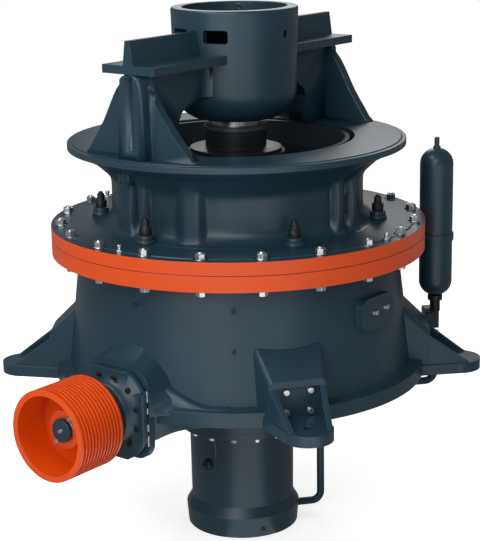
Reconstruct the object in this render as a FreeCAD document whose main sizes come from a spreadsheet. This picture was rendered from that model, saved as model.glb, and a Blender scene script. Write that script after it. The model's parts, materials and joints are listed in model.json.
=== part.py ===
import FreeCAD, Part
import math
import os
import re
import sys

import Sketcher
from FreeCAD import Placement, Rotation, Vector

# Single cylinder hydraulic cone crusher.
# The origin is on the crusher's axis, level with the underside of the feet. +Z is up.
# The drive shaft points along -Y, and the spider's two arms lie along -Y and +Y.

doc = FreeCAD.newDocument("cone_crusher")
sheet = doc.addObject("Spreadsheet::Sheet", "Sizes")

SIZES = {
    # Crushing chamber
    "head_bottom_radius": 760,
    "chamber_gap": 66,
    "liner_foot_thick": 40,
    "skirt_step": 68,
    "liner_taper": 124,
    "liner_rim_step": 12,
    "liner_rim_thick": 30,
    "liner_mouth_depth": 42,
    "liner_throat_depth": 62,
    "discharge_room": 155,
    "seat_gap": 0.3,
    # Lower shell
    "shell_wall": 70,
    "shell_draft": 81,
    "flange_reach": 165,
    "split_height": 896,
    "lower_flange_thick": 95,
    "upper_flange_thick": 79,
    "edge_groove": 3,
    "rim_reach": 80,
    "rim_bottom": 10,
    "rim_thick": 87,
    "rim_slope": 13,
    "pad_reach": 22,
    "pad_width": 310,
    "pad_low": 437,
    "pad_high": 640,
    "pad_corner": 60,
    # Main shaft, head and eccentric
    "pivot_rise": 294,
    "throw": 22,
    "throw_height": 180,
    "shaft_low_radius": 180,
    "journal_step": 30,
    "shaft_top_gap": 40,
    "nut_thick": 36,
    "nut_height": 130,
    "collar_reach": 46,
    "collar_height": 36,
    "head_rise": 4,
    "head_edge": 60,
    "head_cone_height": 440,
    "head_neck_height": 60,
    "head_shoulder": 300,
    "mantle_thick": 55,
    "head_room_radius": 480,
    "head_room_rise": 190,
    "eccentric_wall": 112,
    "eccentric_top": 380,
    "eccentric_foot": 20,
    "bore_play": 7,
    "gear_reach": 93,
    "gear_thick": 62,
    "gear_clearance": 11,
    "washer_radius": 160,
    "washer_thick": 51,
    "shaft_inset": 21,
    "rod_play": 60,
    # Inner hub that carries the eccentric
    "hub_wall": 130,
    "hub_play": 8,
    "hub_rise": 50,
    "gear_room_play": 25,
    "gear_room_wall": 60,
    "gear_room_depth": 110,
    "gear_room_head": 18,
    "hub_foot": 75,
    "inner_arm_width": 170,
    "inner_arm_bottom": 100,
    "inner_arm_top": 400,
    # Drive line
    "shaft_height": 61,
    "nose_radius": 258,
    "housing_wall": 90,
    "housing_bore": 150,
    "nose_reach": 45,
    "nose_length": 60,
    "joint_gap": 15,
    "bell_wing": 640,
    "bell_top": 470,
    "drive_flange_half": 262,
    "drive_flange_corner": 95,
    "drive_flange_thick": 40,
    "drive_cap_radius": 200,
    "drive_cap_depth": 65,
    "shaft_radius": 70,
    "running_gap": 1,
    "bearing_length": 100,
    "pinion_radius": 88,
    "pinion_length": 100,
    "pinion_gap": 28,
    # Sheave
    "sheave_radius": 266,
    "sheave_wall": 36,
    "sheave_clearance": 104,
    "sheave_width": 330,
    "groove_pitch": 25.5,
    "groove_depth": 16,
    "groove_top_width": 17,
    "groove_floor_width": 9,
    "web_inset": 66,
    "web_thick": 42,
    "sheave_hub_radius": 112,
    "shaft_inset_front": 134,
    "end_cap_radius": 68,
    "end_cap_thick": 29,
    # Feet
    "foot_azimuth": 53.8,
    "foot_reach": 217,
    "foot_nose": 145,
    "foot_plate_thick": 65,
    "foot_plate_lip": 12,
    "foot_hole": 28,
    "hood_inset": 182,
    "hood_half_width": 168,
    "hood_edge_height": 283,
    "hood_lip": 40,
    "hood_slope": 0.938,
    "hood_flare": 0.2256,
    "hood_round": 38,
    "gusset_reach": 62,
    "gusset_thick": 36,
    "gusset_taper": 42,
    "recess_depth": 31,
    # Upper shell and feed flange
    "land_inset": 58,
    "land_rise": 6,
    "scallop_radius": 42,
    "bolt_circle_inset": 60,
    "bolt_count": 20,
    "neck_wall": 63,
    "neck_height": 354,
    "flare_height": 70,
    "flare_reach": 47,
    "feed_flange_reach": 267,
    "feed_flange_rise": 124,
    "feed_flange_thick": 42,
    "feed_edge_step": 6,
    "feed_edge_width": 31,
    "feed_seat_step": 18,
    "fillet_height": 78,
    "ridge_reach": 42,
    "ridge_half_foot": 115,
    "ridge_half_crest": 24,
    "rib_reach": 52,
    "rib_thick": 34,
    # Spider
    "cup_radius": 384,
    "cup_wall": 66,
    "cup_rise": 304,
    "cup_floor_rise": 72,
    "cup_round": 14,
    "bowl_draft": 20,
    "bowl_round": 180,
    "bowl_rise": 114,
    "arm_rise": 482,
    "arm_thick": 150,
    "arm_inset": 67,
    "leg_depth": 315,
    "web_round": 60,
    "fin_half_width": 405,
    "fin_depth": 125,
    "fin_thick": 60,
    "pillar_half_low": 105,
    "pillar_half_high": 82,
    "pillar_depth": 85,
    "pillar_round": 20,
    "channel_width": 52,
    "channel_depth": 14,
    "window_width": 152,
    "window_height": 78,
    "window_rise": 154,
    "window_corner": 17,
    "side_hole_radius": 22,
    "window_azimuth": 20.4,
    "guard_thick": 49,
    "guard_width": 387,
    "guard_overhang": 5,
    "guard_rib_height": 140,
    "guard_rib_foot": 74,
    "guard_rib_crest": 34,
    "bushing_wall": 33,
    "bushing_inset": 40,
    "bushing_end_gap": 10,
    "spider_cap_radius": 300,
    "spider_cap_thick": 20,
    # Hydraulic cylinder
    "piston_radius": 245,
    "piston_drop": 395,
    "piston_height": 180,
    "rod_radius": 180,
    "lowest_lift": 100,
    "stroke_rest": 5,
    "cylinder_flange_reach": 150,
    "cylinder_flange_thick": 40,
    "cylinder_wall": 85,
    "cylinder_foot_reach": 30,
    "cylinder_foot_height": 105,
    "cylinder_waist_height": 60,
    "cover_inset": 10,
    "cover_thick": 27,
    # Accumulator and oil line
    "tank_gap": 30,
    "tank_azimuth": 140,
    "tank_radius": 105,
    "tank_bottom": 388,
    "tank_top": 1340,
    "tank_dome": 98,
    "stem_radius": 16,
    "stem_height": 70,
    "collar_radius": 47,
    "collar_thick": 33,
    "neck_pipe_radius": 33,
    "block_top": 281,
    "block_bottom": 147,
    "block_width": 90,
    "bracket_width": 50,
    "band_thick": 8,
    "band_low": 753,
    "band_high": 797,
    "band_bar_width": 60,
    "pipe_radius": 24,
    "pipe_run_height": -190,
    "pipe_drop_gap": 130,
    "port_rise": 40,
    "pipe_bend": 60,
    # Guide pins
    "pin_circle_inset": 252,
    "pin_base_radius": 50,
    "pin_base_height": 37,
    "pin_radius": 37,
    "pin_body_height": 100,
    "pin_cone_radius": 18,
    "pin_cone_height": 140,
    "pin_tip_radius": 9,
    "pin_height": 180,
}

# Sizes that follow from others: what seats on, runs in or passes through what.
FITS = {
    "nose_skin": "nose_radius - 6",
    "liner_low": "head_bottom_radius + chamber_gap",
    "liner_seat_radius": "liner_low - liner_taper",
    "liner_mouth": "liner_seat_radius - liner_mouth_depth",
    "liner_throat": "liner_seat_radius - liner_throat_depth",
    "upper_skirt_radius": "liner_low + liner_foot_thick",
    "shell_radius_high": "head_bottom_radius + discharge_room + shell_wall",
    "shell_radius_low": "shell_radius_high + shell_draft",
    "ring_radius": "shell_radius_high + flange_reach",
    "rim_radius": "shell_radius_low + rim_reach",
    "rim_top": "rim_bottom + rim_thick",
    "flange_under": "split_height - lower_flange_thick",
    "flange_top": "split_height + upper_flange_thick",
    "neck_radius": "liner_seat_radius + neck_wall",
    "flare_start": "split_height + neck_height",
    "flare_top": "flare_start + flare_height",
    "flare_radius": "neck_radius + flare_reach",
    "feed_rim_radius": "neck_radius + feed_flange_reach",
    "feed_rim_under": "flare_top + feed_flange_rise",
    "feed_rim_top": "feed_rim_under + feed_flange_thick",
    "feed_radius": "liner_seat_radius + feed_seat_step",
    "liner_top": "feed_rim_top - 10",
    "liner_seat_low": "split_height + 144",
    "arm_top": "feed_rim_top + arm_rise",
    "cup_top": "arm_top + cup_rise",
    "cup_floor": "arm_top + cup_floor_rise",
    "bowl_bottom": "feed_rim_top + bowl_rise",
    "pivot_height": "feed_rim_top + pivot_rise",
    "arm_end": "feed_rim_radius - arm_inset",
    "leg_inner": "arm_end - leg_depth",
    "guard_end": "arm_end + guard_overhang",
    "journal_radius": "shaft_low_radius - journal_step",
    "bushing_bore": "journal_radius + bore_play",
    "bowl_mouth": "bushing_bore + bushing_wall",
    "main_shaft_top": "cup_floor - shaft_top_gap",
    "head_low": "split_height + head_rise",
    "head_under": "head_low - head_edge",
    "head_shoulder_height": "head_low + head_cone_height",
    "head_top": "head_shoulder_height + head_neck_height",
    "nut_radius": "journal_radius + nut_thick",
    "nut_top": "head_top + nut_height",
    "band_radius": "journal_radius + collar_reach",
    "band_top": "nut_top + collar_height",
    "eccentric_bore": "shaft_low_radius + bore_play",
    "eccentric_radius": "shaft_low_radius + eccentric_wall",
    "gear_radius": "eccentric_radius + gear_reach",
    "gear_top": "shaft_height - pinion_radius - gear_clearance",
    "gear_bottom": "gear_top - gear_thick",
    "eccentric_bottom": "gear_bottom - eccentric_foot",
    "main_shaft_bottom": "eccentric_bottom + shaft_inset",
    "washer_bottom": "main_shaft_bottom - washer_thick",
    "rod_bore": "shaft_low_radius + rod_play",
    "hub_bore": "eccentric_radius + hub_play",
    "hub_radius": "hub_bore + hub_wall",
    "hub_top": "eccentric_top + hub_rise",
    "gear_room_radius": "gear_radius + gear_room_play",
    "gear_room_top": "gear_top + gear_room_head",
    "gear_room_floor": "eccentric_bottom - gear_room_depth",
    "hub_belly_radius": "gear_room_radius + gear_room_wall",
    "hub_bottom": "gear_room_floor - hub_foot",
    "head_room_top": "hub_top + head_room_rise",
    "pinion_start": "eccentric_radius + pinion_gap",
    "housing_tube_radius": "housing_bore + housing_wall",
    "housing_reach": "ring_radius + nose_reach",
    "flange_face": "housing_reach + drive_flange_thick",
    "cap_face": "flange_face + drive_cap_depth",
    "sheave_back": "cap_face + sheave_clearance",
    "sheave_front": "sheave_back + sheave_width",
    "sheave_bore": "sheave_radius - sheave_wall",
    "web_back": "sheave_back + web_inset",
    "shaft_end": "sheave_front - shaft_inset_front",
    "hole_distance": "rim_radius + foot_reach",
    "hood_edge": "hole_distance - hood_inset",
    "gusset_end": "hole_distance + gusset_reach",
    "recess_wall": "hood_edge - recess_depth",
    "recess_top": "hood_edge_height - hood_lip",
    "cylinder_flange_radius": "piston_radius + cylinder_flange_reach",
    "cylinder_radius": "piston_radius + cylinder_wall",
    "cylinder_foot_radius": "cylinder_radius + cylinder_foot_reach",
    "cover_radius": "cylinder_foot_radius - cover_inset",
    "piston_top": "hub_bottom - piston_drop",
    "piston_bottom": "piston_top - piston_height",
    "cylinder_bottom": "piston_bottom - lowest_lift - stroke_rest",
    "cylinder_foot_top": "cylinder_bottom + cylinder_foot_height",
    "cylinder_waist": "cylinder_foot_top + cylinder_waist_height",
    "tank_distance": "ring_radius + tank_radius + tank_gap",
    "pipe_drop_radius": "cylinder_foot_radius + pipe_drop_gap + 29",
    "port_height": "cylinder_bottom + port_rise",
    "pin_circle": "ring_radius - pin_circle_inset",
}

WORD = re.compile(r"[a-z][a-z_]+")


def fill_sheet():
    cells = {**SIZES, **{alias: "=" + text for alias, text in FITS.items()}}
    for row, (alias, value) in enumerate(cells.items(), start=1):
        sheet.set(f"A{row}", alias.replace("_", " "))
        sheet.set(f"B{row}", str(value))
        sheet.setAlias(f"B{row}", alias)
    doc.recompute()


def formula(text):
    """Puts the sheet's name before each size that a formula uses."""
    names = {**SIZES, **FITS}
    return WORD.sub(lambda word: "Sizes." + word.group() if word.group() in names else word.group(), text)


def number(text):
    return float(sheet.evalExpression(text))


def bind(item, **formulas):
    for name, text in formulas.items():
        item.setExpression(name, formula(text))
    return item


def place(item, azimuth=0.0, x="0", y="0", z="0"):
    """Turns the piece about the crusher's axis, from -Y towards +X, so that its own X axis points out."""
    item.Placement = Placement(Vector(), Rotation(Vector(0, 0, 1), azimuth - 90))
    for axis, text in (("x", x), ("y", y), ("z", z)):
        item.setExpression("Placement.Base." + axis, formula(text))
    return item


def outline(body, role, name, corners):
    """A closed sketch of straight lines, each corner held to the sheet by two distances."""
    sketch = body.newObject("Sketcher::SketchObject", name)
    plane = next(item for item in body.Origin.OriginFeatures if item.Role == role)
    sketch.AttachmentSupport = (plane, [""])
    sketch.MapMode = "FlatFace"
    points = [Vector(number(across), number(up), 0) for across, up in corners]
    count = len(points)
    for index in range(count):
        sketch.addGeometry(Part.LineSegment(points[index], points[(index + 1) % count]), False)
    rules = [Sketcher.Constraint("Coincident", index, 2, (index + 1) % count, 1) for index in range(count)]
    for index, point in enumerate(points):
        rules.append(Sketcher.Constraint("DistanceX", -1, 1, index, 1, point.x))
        rules.append(Sketcher.Constraint("DistanceY", -1, 1, index, 1, point.y))
    sketch.addConstraint(rules)
    for index, (across, up) in enumerate(corners):
        sketch.setExpression(f"Constraints[{count + 2 * index}]", formula(across))
        sketch.setExpression(f"Constraints[{count + 2 * index + 1}]", formula(up))
    return sketch


def turned(name, corners, axis="V_Axis"):
    """A body turned from a half section: radius across and height up."""
    body = doc.addObject("PartDesign::Body", name)
    sketch = outline(body, "XZ_Plane", name + "_section", corners)
    spin = body.newObject("PartDesign::Revolution", name + "_turned")
    spin.Profile = sketch
    spin.ReferenceAxis = (sketch, [axis])
    spin.Angle = 360
    sketch.Visibility = False
    return body


def plate(name, role, corners, thickness):
    """A body padded both ways from its middle plane."""
    body = doc.addObject("PartDesign::Body", name)
    sketch = outline(body, role, name + "_outline", corners)
    pad = body.newObject("PartDesign::Pad", name + "_pad")
    pad.Profile = sketch
    pad.Midplane = True
    pad.setExpression("Length", formula(thickness))
    return body


def prism(name, corners, low, high):
    """A body padded straight up from a plan, between two heights."""
    body = doc.addObject("PartDesign::Body", name)
    sketch = outline(body, "XY_Plane", name + "_plan", corners)
    pad = body.newObject("PartDesign::Pad", name + "_pad")
    pad.Profile = sketch
    pad.setExpression("Length", formula(f"{high} - ({low})"))
    body.setExpression("Placement.Base.z", formula(low))
    return body


def upright(name, corners, start, depth):
    """A body padded out along X from an upright outline, width across and height up."""
    body = doc.addObject("PartDesign::Body", name)
    sketch = outline(body, "YZ_Plane", name + "_outline", corners)
    pad = body.newObject("PartDesign::Pad", name + "_pad")
    pad.Profile = sketch
    pad.setExpression("Length", formula(depth))
    body.setExpression("Placement.Base.x", formula(start))
    return body


def rounded_slab(name, half_width, half_height, depth, corner):
    """A rectangular plate that stands out along X, with its four long edges rounded."""
    body = upright(name, [
        (f"-({half_width})", f"-({half_height})"),
        (half_width, f"-({half_height})"),
        (half_width, half_height),
        (f"-({half_width})", half_height),
    ], "0", depth)
    round_edges(body, body.Tip, name + "_corners", corner, lies_along_x)
    return body


def mirrored(side):
    """A closed outline from its right half, listed from the bottom up."""
    return side + [(f"-({across})", up) for across, up in reversed(side)]



def cylinder(name, radius, height, **base):
    item = doc.addObject("Part::Cylinder", name)
    bind(item, Radius=radius, Height=height)
    return place(item, 90, **base)


def cross_cylinder(name, radius, start, end, height):
    """A round bar along the drive shaft's line, from start to end out along -Y."""
    item = doc.addObject("Part::Cylinder", name)
    bind(item, Radius=radius, Height=f"{end} - ({start})")
    item.Placement = Placement(Vector(), Rotation(Vector(1, 0, 0), 90))
    item.setExpression("Placement.Base.y", formula(f"-({start})"))
    item.setExpression("Placement.Base.z", formula(height))
    return item


def cut(name, base, *tools):
    for index, tool in enumerate(tools):
        item = doc.addObject("Part::Cut", name if index == len(tools) - 1 else f"{name}_less_{tool.Name}")
        item.Base = base
        item.Tool = tool
        base = item
    return base


def fuse(name, *items):
    item = doc.addObject("Part::MultiFuse", name)
    item.Shapes = list(items)
    return item


def round_edges(body, base, name, radius, test):
    """Rounds the edges of a body's last feature that pass the test."""
    doc.recompute()
    names = [f"Edge{index}" for index, edge in enumerate(base.Shape.Edges, start=1) if test(edge)]
    fillet = body.newObject("PartDesign::Fillet", name)
    fillet.Base = (base, names)
    fillet.setExpression("Radius", formula(radius))
    body.Tip = fillet
    return fillet


def mirrored_plan(side):
    """A closed plan from its left half, listed towards the axis."""
    return side + [(along, f"-({across})") for along, across in reversed(side)]


def place_at(item, azimuth):
    """Turns a body about the crusher's axis and keeps its own height."""
    item.Placement.Rotation = Rotation(Vector(0, 0, 1), azimuth - 90)
    return item


def runs_up_the_roof(edge):
    """The hood's two long upper edges: sloped, and away from the base."""
    low, high = sorted(vertex.Z for vertex in edge.Vertexes)
    return low > 1 and high - low > 50


def lies_along_x(edge):
    curve = edge.Curve
    return isinstance(curve, Part.Line) and abs(abs(curve.Direction.x) - 1) < 0.001


def is_ring(edge, radius, height):
    curve = edge.Curve
    if not isinstance(curve, Part.Circle):
        return False
    return abs(curve.Radius - radius) < 0.01 and abs(curve.Center.z - height) < 0.01


nodes = []


def keep(*items):
    nodes.extend(items)


fill_sheet()

# Lower shell: a tapered drum with a thick rim below and a cast pad on its right side.
# The bolted flange above it is a ring of its own.
shell_solid = turned("shell_solid", [
    ("0", "rim_bottom"),
    ("rim_radius", "rim_bottom"),
    ("rim_radius", "rim_top"),
    ("shell_radius_low", "rim_top + rim_slope"),
    ("shell_radius_high", "flange_under"),
    ("0", "flange_under"),
])
shell_room = turned("shell_room", [
    ("0", "rim_bottom - 400"),
    ("shell_radius_low - shell_wall", "rim_bottom - 400"),
    ("shell_radius_low - shell_wall", "rim_top + rim_slope"),
    ("shell_radius_high - shell_wall", "flange_under"),
    ("shell_radius_high - shell_wall", "flange_under + 1"),
    ("0", "flange_under + 1"),
])
housing_hole = cross_cylinder("housing_hole", "housing_tube_radius", "hub_radius", "ring_radius + 100", "shaft_height")
pad_blank = rounded_slab(
    "pad_blank",
    "pad_width / 2",
    "(pad_high - pad_low) / 2",
    "shell_radius_high + pad_reach + shell_draft / 2",
    "pad_corner",
)
place(pad_blank, 89, z="(pad_high + pad_low) / 2")
shell_whole = fuse("shell_whole", shell_solid, pad_blank)
bottom_shell = cut("bottom_shell", shell_whole, shell_room, housing_hole)
lower_flange = turned("lower_flange", [
    ("shell_radius_high - shell_wall", "flange_under"),
    ("ring_radius", "flange_under"),
    ("ring_radius", "split_height - edge_groove"),
    ("ring_radius - edge_groove", "split_height"),
    ("shell_radius_high - shell_wall", "split_height"),
])
keep(bottom_shell, lower_flange)

# Inner hub: the bored column that the eccentric turns in, and the gear housing at its foot.
column_solid = turned("column_solid", [
    ("0", "gear_room_top"),
    ("hub_belly_radius", "gear_room_top"),
    ("hub_belly_radius", "inner_arm_bottom - 80"),
    ("hub_radius", "inner_arm_bottom - 40"),
    ("hub_radius", "hub_top - 30"),
    ("hub_radius - 60", "hub_top"),
    ("0", "hub_top"),
])
column_bore = cylinder("column_bore", "hub_bore", "hub_top - gear_room_top + 2", z="gear_room_top - 1")
pinion_hole = cross_cylinder("pinion_hole", "housing_bore", "100", "hub_belly_radius + 50", "shaft_height")
frame_hub = cut("frame_hub", column_solid, column_bore, pinion_hole)
gear_solid = turned("gear_solid", [
    ("rod_bore", "hub_bottom"),
    ("cylinder_flange_radius", "hub_bottom"),
    ("cylinder_flange_radius", "hub_bottom + 40"),
    ("hub_belly_radius", "hub_bottom + 95"),
    ("hub_belly_radius", "gear_room_top"),
    ("gear_room_radius", "gear_room_top"),
    ("gear_room_radius", "gear_room_floor"),
    ("rod_bore", "gear_room_floor"),
])
pinion_notch = cross_cylinder("pinion_notch", "housing_bore", "100", "hub_belly_radius + 50", "shaft_height")
gear_housing = cut("gear_housing", gear_solid, pinion_notch)
keep(frame_hub, gear_housing)

# Three arms join the hub to the drum. The drive housing is the fourth.
arm_bars = []
for azimuth in (90, 180, 270):
    bar = doc.addObject("Part::Box", f"arm_bar_{azimuth}")
    bind(bar, Length="shell_radius_low", Width="inner_arm_width", Height="inner_arm_top - inner_arm_bottom")
    turn = math.radians(azimuth - 90)
    side = "inner_arm_width / 2"
    arm_bars.append(place(
        bar,
        azimuth,
        x=f"{math.sin(turn):.0f} * {side}",
        y=f"{-math.cos(turn):.0f} * {side}",
        z="inner_arm_bottom",
    ))
arm_cross = fuse("arm_cross", *arm_bars)
arm_span = doc.addObject("Part::MultiCommon", "arm_span")
arm_span.Shapes = [arm_cross, shell_room]
frame_arms = cut("frame_arms", arm_span, column_solid)
keep(frame_arms)

# Drive housing: a square flanged nose that swells like a bell into the drum and its rim.
# Each station is half an outline from the top down, closed by its mirror image.
nose_round = [
    (f"nose_skin * sin({angle})", f"shaft_height + nose_skin * cos({angle})")
    for angle in (0, 28, 52, 72, 86, 98, 112, 145, 180)
]
bell_stations = [
    ("nose", "housing_reach - nose_length + 15", nose_round),
    ("neck", "housing_reach - 135", [
        ("0", "345"), ("120", "322"), ("220", "262"), ("290", "190"), ("336", "115"),
        ("345", "50"), ("325", "-25"), ("190", "-120"), ("0", "-150"),
    ]),
    ("shoulder", "housing_reach - 255", [
        ("0", "bell_top - 55"), ("140", "bell_top - 145"), ("278", "bell_top - 260"), ("415", "rim_top + 46"),
        ("545", "rim_top + 12"), ("bell_wing - 18", "rim_top - 12"), ("bell_wing - 22", "rim_bottom + 30"),
        ("400", "rim_bottom + 6"), ("0", "rim_bottom - 45"),
    ]),
    ("root", "housing_reach - 335", [
        ("0", "bell_top"), ("139", "bell_top - 79"), ("253", "bell_top - 160"), ("344", "bell_top - 257"),
        ("480", "rim_top + 34"), ("bell_wing - 20", "rim_top - 8"), ("bell_wing - 30", "rim_bottom + 32"),
        ("400", "rim_bottom + 12"), ("0", "rim_bottom - 20"),
    ]),
]
bell = doc.addObject("PartDesign::Body", "bell")
bell_rings = []
for name, reach, half in bell_stations:
    ring = bell.newObject("Sketcher::SketchObject", "bell_" + name)
    plane = next(item for item in bell.Origin.OriginFeatures if item.Role == "XZ_Plane")
    ring.AttachmentSupport = (plane, [""])
    ring.MapMode = "FlatFace"
    ring.setExpression("AttachmentOffset.Base.z", formula(reach))
    right = [Vector(number(across), number(up), 0) for across, up in half]
    left = [Vector(-point.x, point.y, 0) for point in reversed(right[1:-1])]
    curve = Part.BSplineCurve()
    curve.interpolate(right + left, PeriodicFlag=True)
    ring.addGeometry(curve, False)
    bell_rings.append(ring)
bell_loft = bell.newObject("PartDesign::AdditiveLoft", "bell_loft")
bell_loft.Profile = bell_rings[0]
bell_loft.Sections = bell_rings[1:]
under_room = cylinder("under_room", "shell_radius_low - shell_wall", "400 + rim_bottom", z="-400")
bell_skin = cut("bell_skin", bell, shell_solid, under_room)
nose_flange = rounded_slab(
    "nose_flange", "drive_flange_half", "drive_flange_half", "nose_length - joint_gap", "drive_flange_corner"
)
place(nose_flange, 0, y="nose_length - housing_reach", z="shaft_height")
nose_bar = cross_cylinder("nose_bar", "housing_tube_radius", "100", "housing_reach", "shaft_height")
hub_envelope = cylinder("hub_envelope", "hub_belly_radius", "gear_room_top - hub_bottom", z="hub_bottom")
nose_tube = cut("nose_tube", nose_bar, column_solid, hub_envelope)
housing_blank = fuse("housing_blank", bell_skin, nose_flange, nose_tube)
shaft_bore = cross_cylinder("shaft_bore", "housing_bore", "100", "housing_reach + 1", "shaft_height")
pinion_housing = cut("pinion_housing", housing_blank, shaft_bore)
keep(pinion_housing)

# Bearing cartridge: the square bolted flange and the round cap that close the housing.
cartridge_plate = rounded_slab(
    "cartridge_plate", "drive_flange_half", "drive_flange_half", "drive_flange_thick", "drive_flange_corner"
)
place(cartridge_plate, 0, y="-housing_reach", z="shaft_height")
cartridge_cap = turned("cartridge_cap", [
    ("housing_reach", "0"),
    ("cap_face", "0"),
    ("cap_face", "drive_cap_radius - 12"),
    ("cap_face - 12", "drive_cap_radius"),
    ("housing_reach", "drive_cap_radius"),
], "H_Axis")
place(cartridge_cap, 0, z="shaft_height")
cartridge_blank = fuse("cartridge_blank", cartridge_plate, cartridge_cap)
cartridge_bore = cross_cylinder(
    "cartridge_bore", "shaft_radius + 8", "housing_reach - 1", "cap_face + 1", "shaft_height"
)
keep(cut("bearing_cartridge", cartridge_blank, cartridge_bore))

# Two bronze bearings carry the drive shaft inside the housing.
bearing_rings = []
for name, start in (("outer", "housing_reach - bearing_length"), ("inner", "hub_belly_radius + 60")):
    bush = turned("bearing_" + name, [
        (start, "shaft_radius + running_gap"),
        (start + " + bearing_length", "shaft_radius + running_gap"),
        (start + " + bearing_length", "housing_bore"),
        (start, "housing_bore"),
    ], "H_Axis")
    bearing_rings.append(place(bush, 0, z="shaft_height"))
drive_bearings = doc.addObject("Part::Compound", "drive_bearings")
drive_bearings.Links = bearing_rings
keep(drive_bearings)

# Drive shaft with its pinion, grooved sheave and end cap.
drive_shaft = turned("drive_shaft", [
    ("pinion_start + pinion_length", "0"),
    ("shaft_end", "0"),
    ("shaft_end", "shaft_radius"),
    ("pinion_start + pinion_length", "shaft_radius"),
], "H_Axis")
place(drive_shaft, 0, z="shaft_height")
pinion = turned("pinion", [
    ("pinion_start", "0"),
    ("pinion_start + pinion_length", "0"),
    ("pinion_start + pinion_length", "pinion_radius"),
    ("pinion_start", "pinion_radius - 14"),
], "H_Axis")
place(pinion, 0, z="shaft_height")
end_cap = turned("shaft_end_cap", [
    ("shaft_end", "0"),
    ("shaft_end + end_cap_thick", "0"),
    ("shaft_end + end_cap_thick", "end_cap_radius - 4"),
    ("shaft_end + end_cap_thick - 4", "end_cap_radius"),
    ("shaft_end", "end_cap_radius"),
], "H_Axis")
place(end_cap, 0, z="shaft_height")

groove_count = int(number("(sheave_width - groove_top_width) / groove_pitch"))
land = f"(sheave_width - {groove_count - 1} * groove_pitch) / 2"
sheave_outline = [
    ("sheave_back", "sheave_bore"),
    ("sheave_back", "sheave_radius"),
]
for groove in range(groove_count):
    middle = f"sheave_back + {land} + {groove} * groove_pitch"
    sheave_outline += [
        (f"{middle} - groove_top_width / 2", "sheave_radius"),
        (f"{middle} - groove_floor_width / 2", "sheave_radius - groove_depth"),
        (f"{middle} + groove_floor_width / 2", "sheave_radius - groove_depth"),
        (f"{middle} + groove_top_width / 2", "sheave_radius"),
    ]
sheave_outline += [
    ("sheave_front", "sheave_radius"),
    ("sheave_front", "sheave_bore"),
    ("web_back + web_thick", "sheave_bore"),
    ("web_back + web_thick", "sheave_hub_radius"),
    ("sheave_front - shaft_inset_front - 4", "sheave_hub_radius"),
    ("sheave_front - shaft_inset_front - 4", "shaft_radius"),
    ("sheave_back + 20", "shaft_radius"),
    ("sheave_back + 20", "sheave_hub_radius"),
    ("web_back", "sheave_hub_radius"),
    ("web_back", "sheave_bore"),
]
sheave = turned("sheave", sheave_outline, "H_Axis")
place(sheave, 0, z="shaft_height")
keep(drive_shaft, pinion, end_cap, sheave)

# Feet: a plate with a round nose, two tapering gussets and a sloped hood over a recess.
# X runs along the foot, away from the drum.
foot_root = "shell_radius_high - shell_wall"


def hood_half(distance):
    return f"(hood_half_width + hood_flare * (hood_edge - ({distance})))"


def hood_roof(distance):
    return f"(hood_edge_height + hood_slope * (hood_edge - ({distance})))"


def foot(name, azimuth):
    hood = doc.addObject("PartDesign::Body", name + "_hood")
    sections = []
    for end, distance in (("edge", "hood_edge"), ("root", foot_root)):
        section = outline(hood, "YZ_Plane", f"{name}_hood_{end}", mirrored([
            (hood_half(distance), "0"),
            (hood_half(distance), hood_roof(distance)),
        ]))
        section.setExpression("AttachmentOffset.Base.z", formula(distance))
        sections.append(section)
    hood_loft = hood.newObject("PartDesign::AdditiveLoft", name + "_hood_loft")
    hood_loft.Profile = sections[0]
    hood_loft.Sections = sections[1:]
    round_edges(hood, hood_loft, name + "_hood_rounds", "hood_round", runs_up_the_roof)
    gusset_plan = prism(name + "_gusset_plan", [
        ("hood_edge - 5", "-hood_half_width"),
        ("gusset_end", "gusset_taper - hood_half_width"),
        ("gusset_end", "hood_half_width - gusset_taper"),
        ("hood_edge - 5", "hood_half_width"),
    ], "0", "recess_top")
    gusset_side = plate(name + "_gusset_side", "XZ_Plane", [
        ("hood_edge - 5", "0"),
        ("gusset_end", "0"),
        ("gusset_end", "foot_plate_thick"),
        ("hood_edge", "recess_top"),
        ("hood_edge - 5", "recess_top"),
    ], "3 * hood_half_width")
    gussets = doc.addObject("Part::MultiCommon", name + "_gussets")
    gussets.Shapes = [gusset_plan, gusset_side]
    recess = prism(name + "_recess", [
        ("recess_wall", "gusset_thick - hood_half_width"),
        ("hood_edge", "gusset_thick - hood_half_width"),
        ("gusset_end + 20", "gusset_taper + gusset_thick - hood_half_width"),
        ("gusset_end + 20", "hood_half_width - gusset_thick - gusset_taper"),
        ("hood_edge", "hood_half_width - gusset_thick"),
        ("recess_wall", "hood_half_width - gusset_thick"),
    ], "foot_plate_thick", "recess_top")
    sole = prism(name + "_sole", [
        (foot_root, f"-{hood_half(foot_root)} - foot_plate_lip"),
        ("hood_edge", "-hood_half_width - foot_plate_lip"),
        ("hole_distance", "-foot_nose"),
        ("hole_distance", "foot_nose"),
        ("hood_edge", "hood_half_width + foot_plate_lip"),
        (foot_root, f"{hood_half(foot_root)} + foot_plate_lip"),
    ], "0", "foot_plate_thick")
    toe = doc.addObject("Part::Cylinder", name + "_toe")
    bind(toe, Radius="foot_nose", Height="foot_plate_thick")
    toe.setExpression("Placement.Base.x", formula("hole_distance"))
    whole = fuse(name + "_whole", hood, gussets, sole, toe)
    hole = doc.addObject("Part::Cylinder", name + "_hole")
    bind(hole, Radius="foot_hole", Height="foot_plate_thick + 20")
    hole.setExpression("Placement.Base.x", formula("hole_distance"))
    hole.setExpression("Placement.Base.z", "-10")
    hollow = cut(name + "_hollow", whole, recess, hole)
    place(hollow, azimuth)
    keep(cut(name, hollow, shell_solid))


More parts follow.
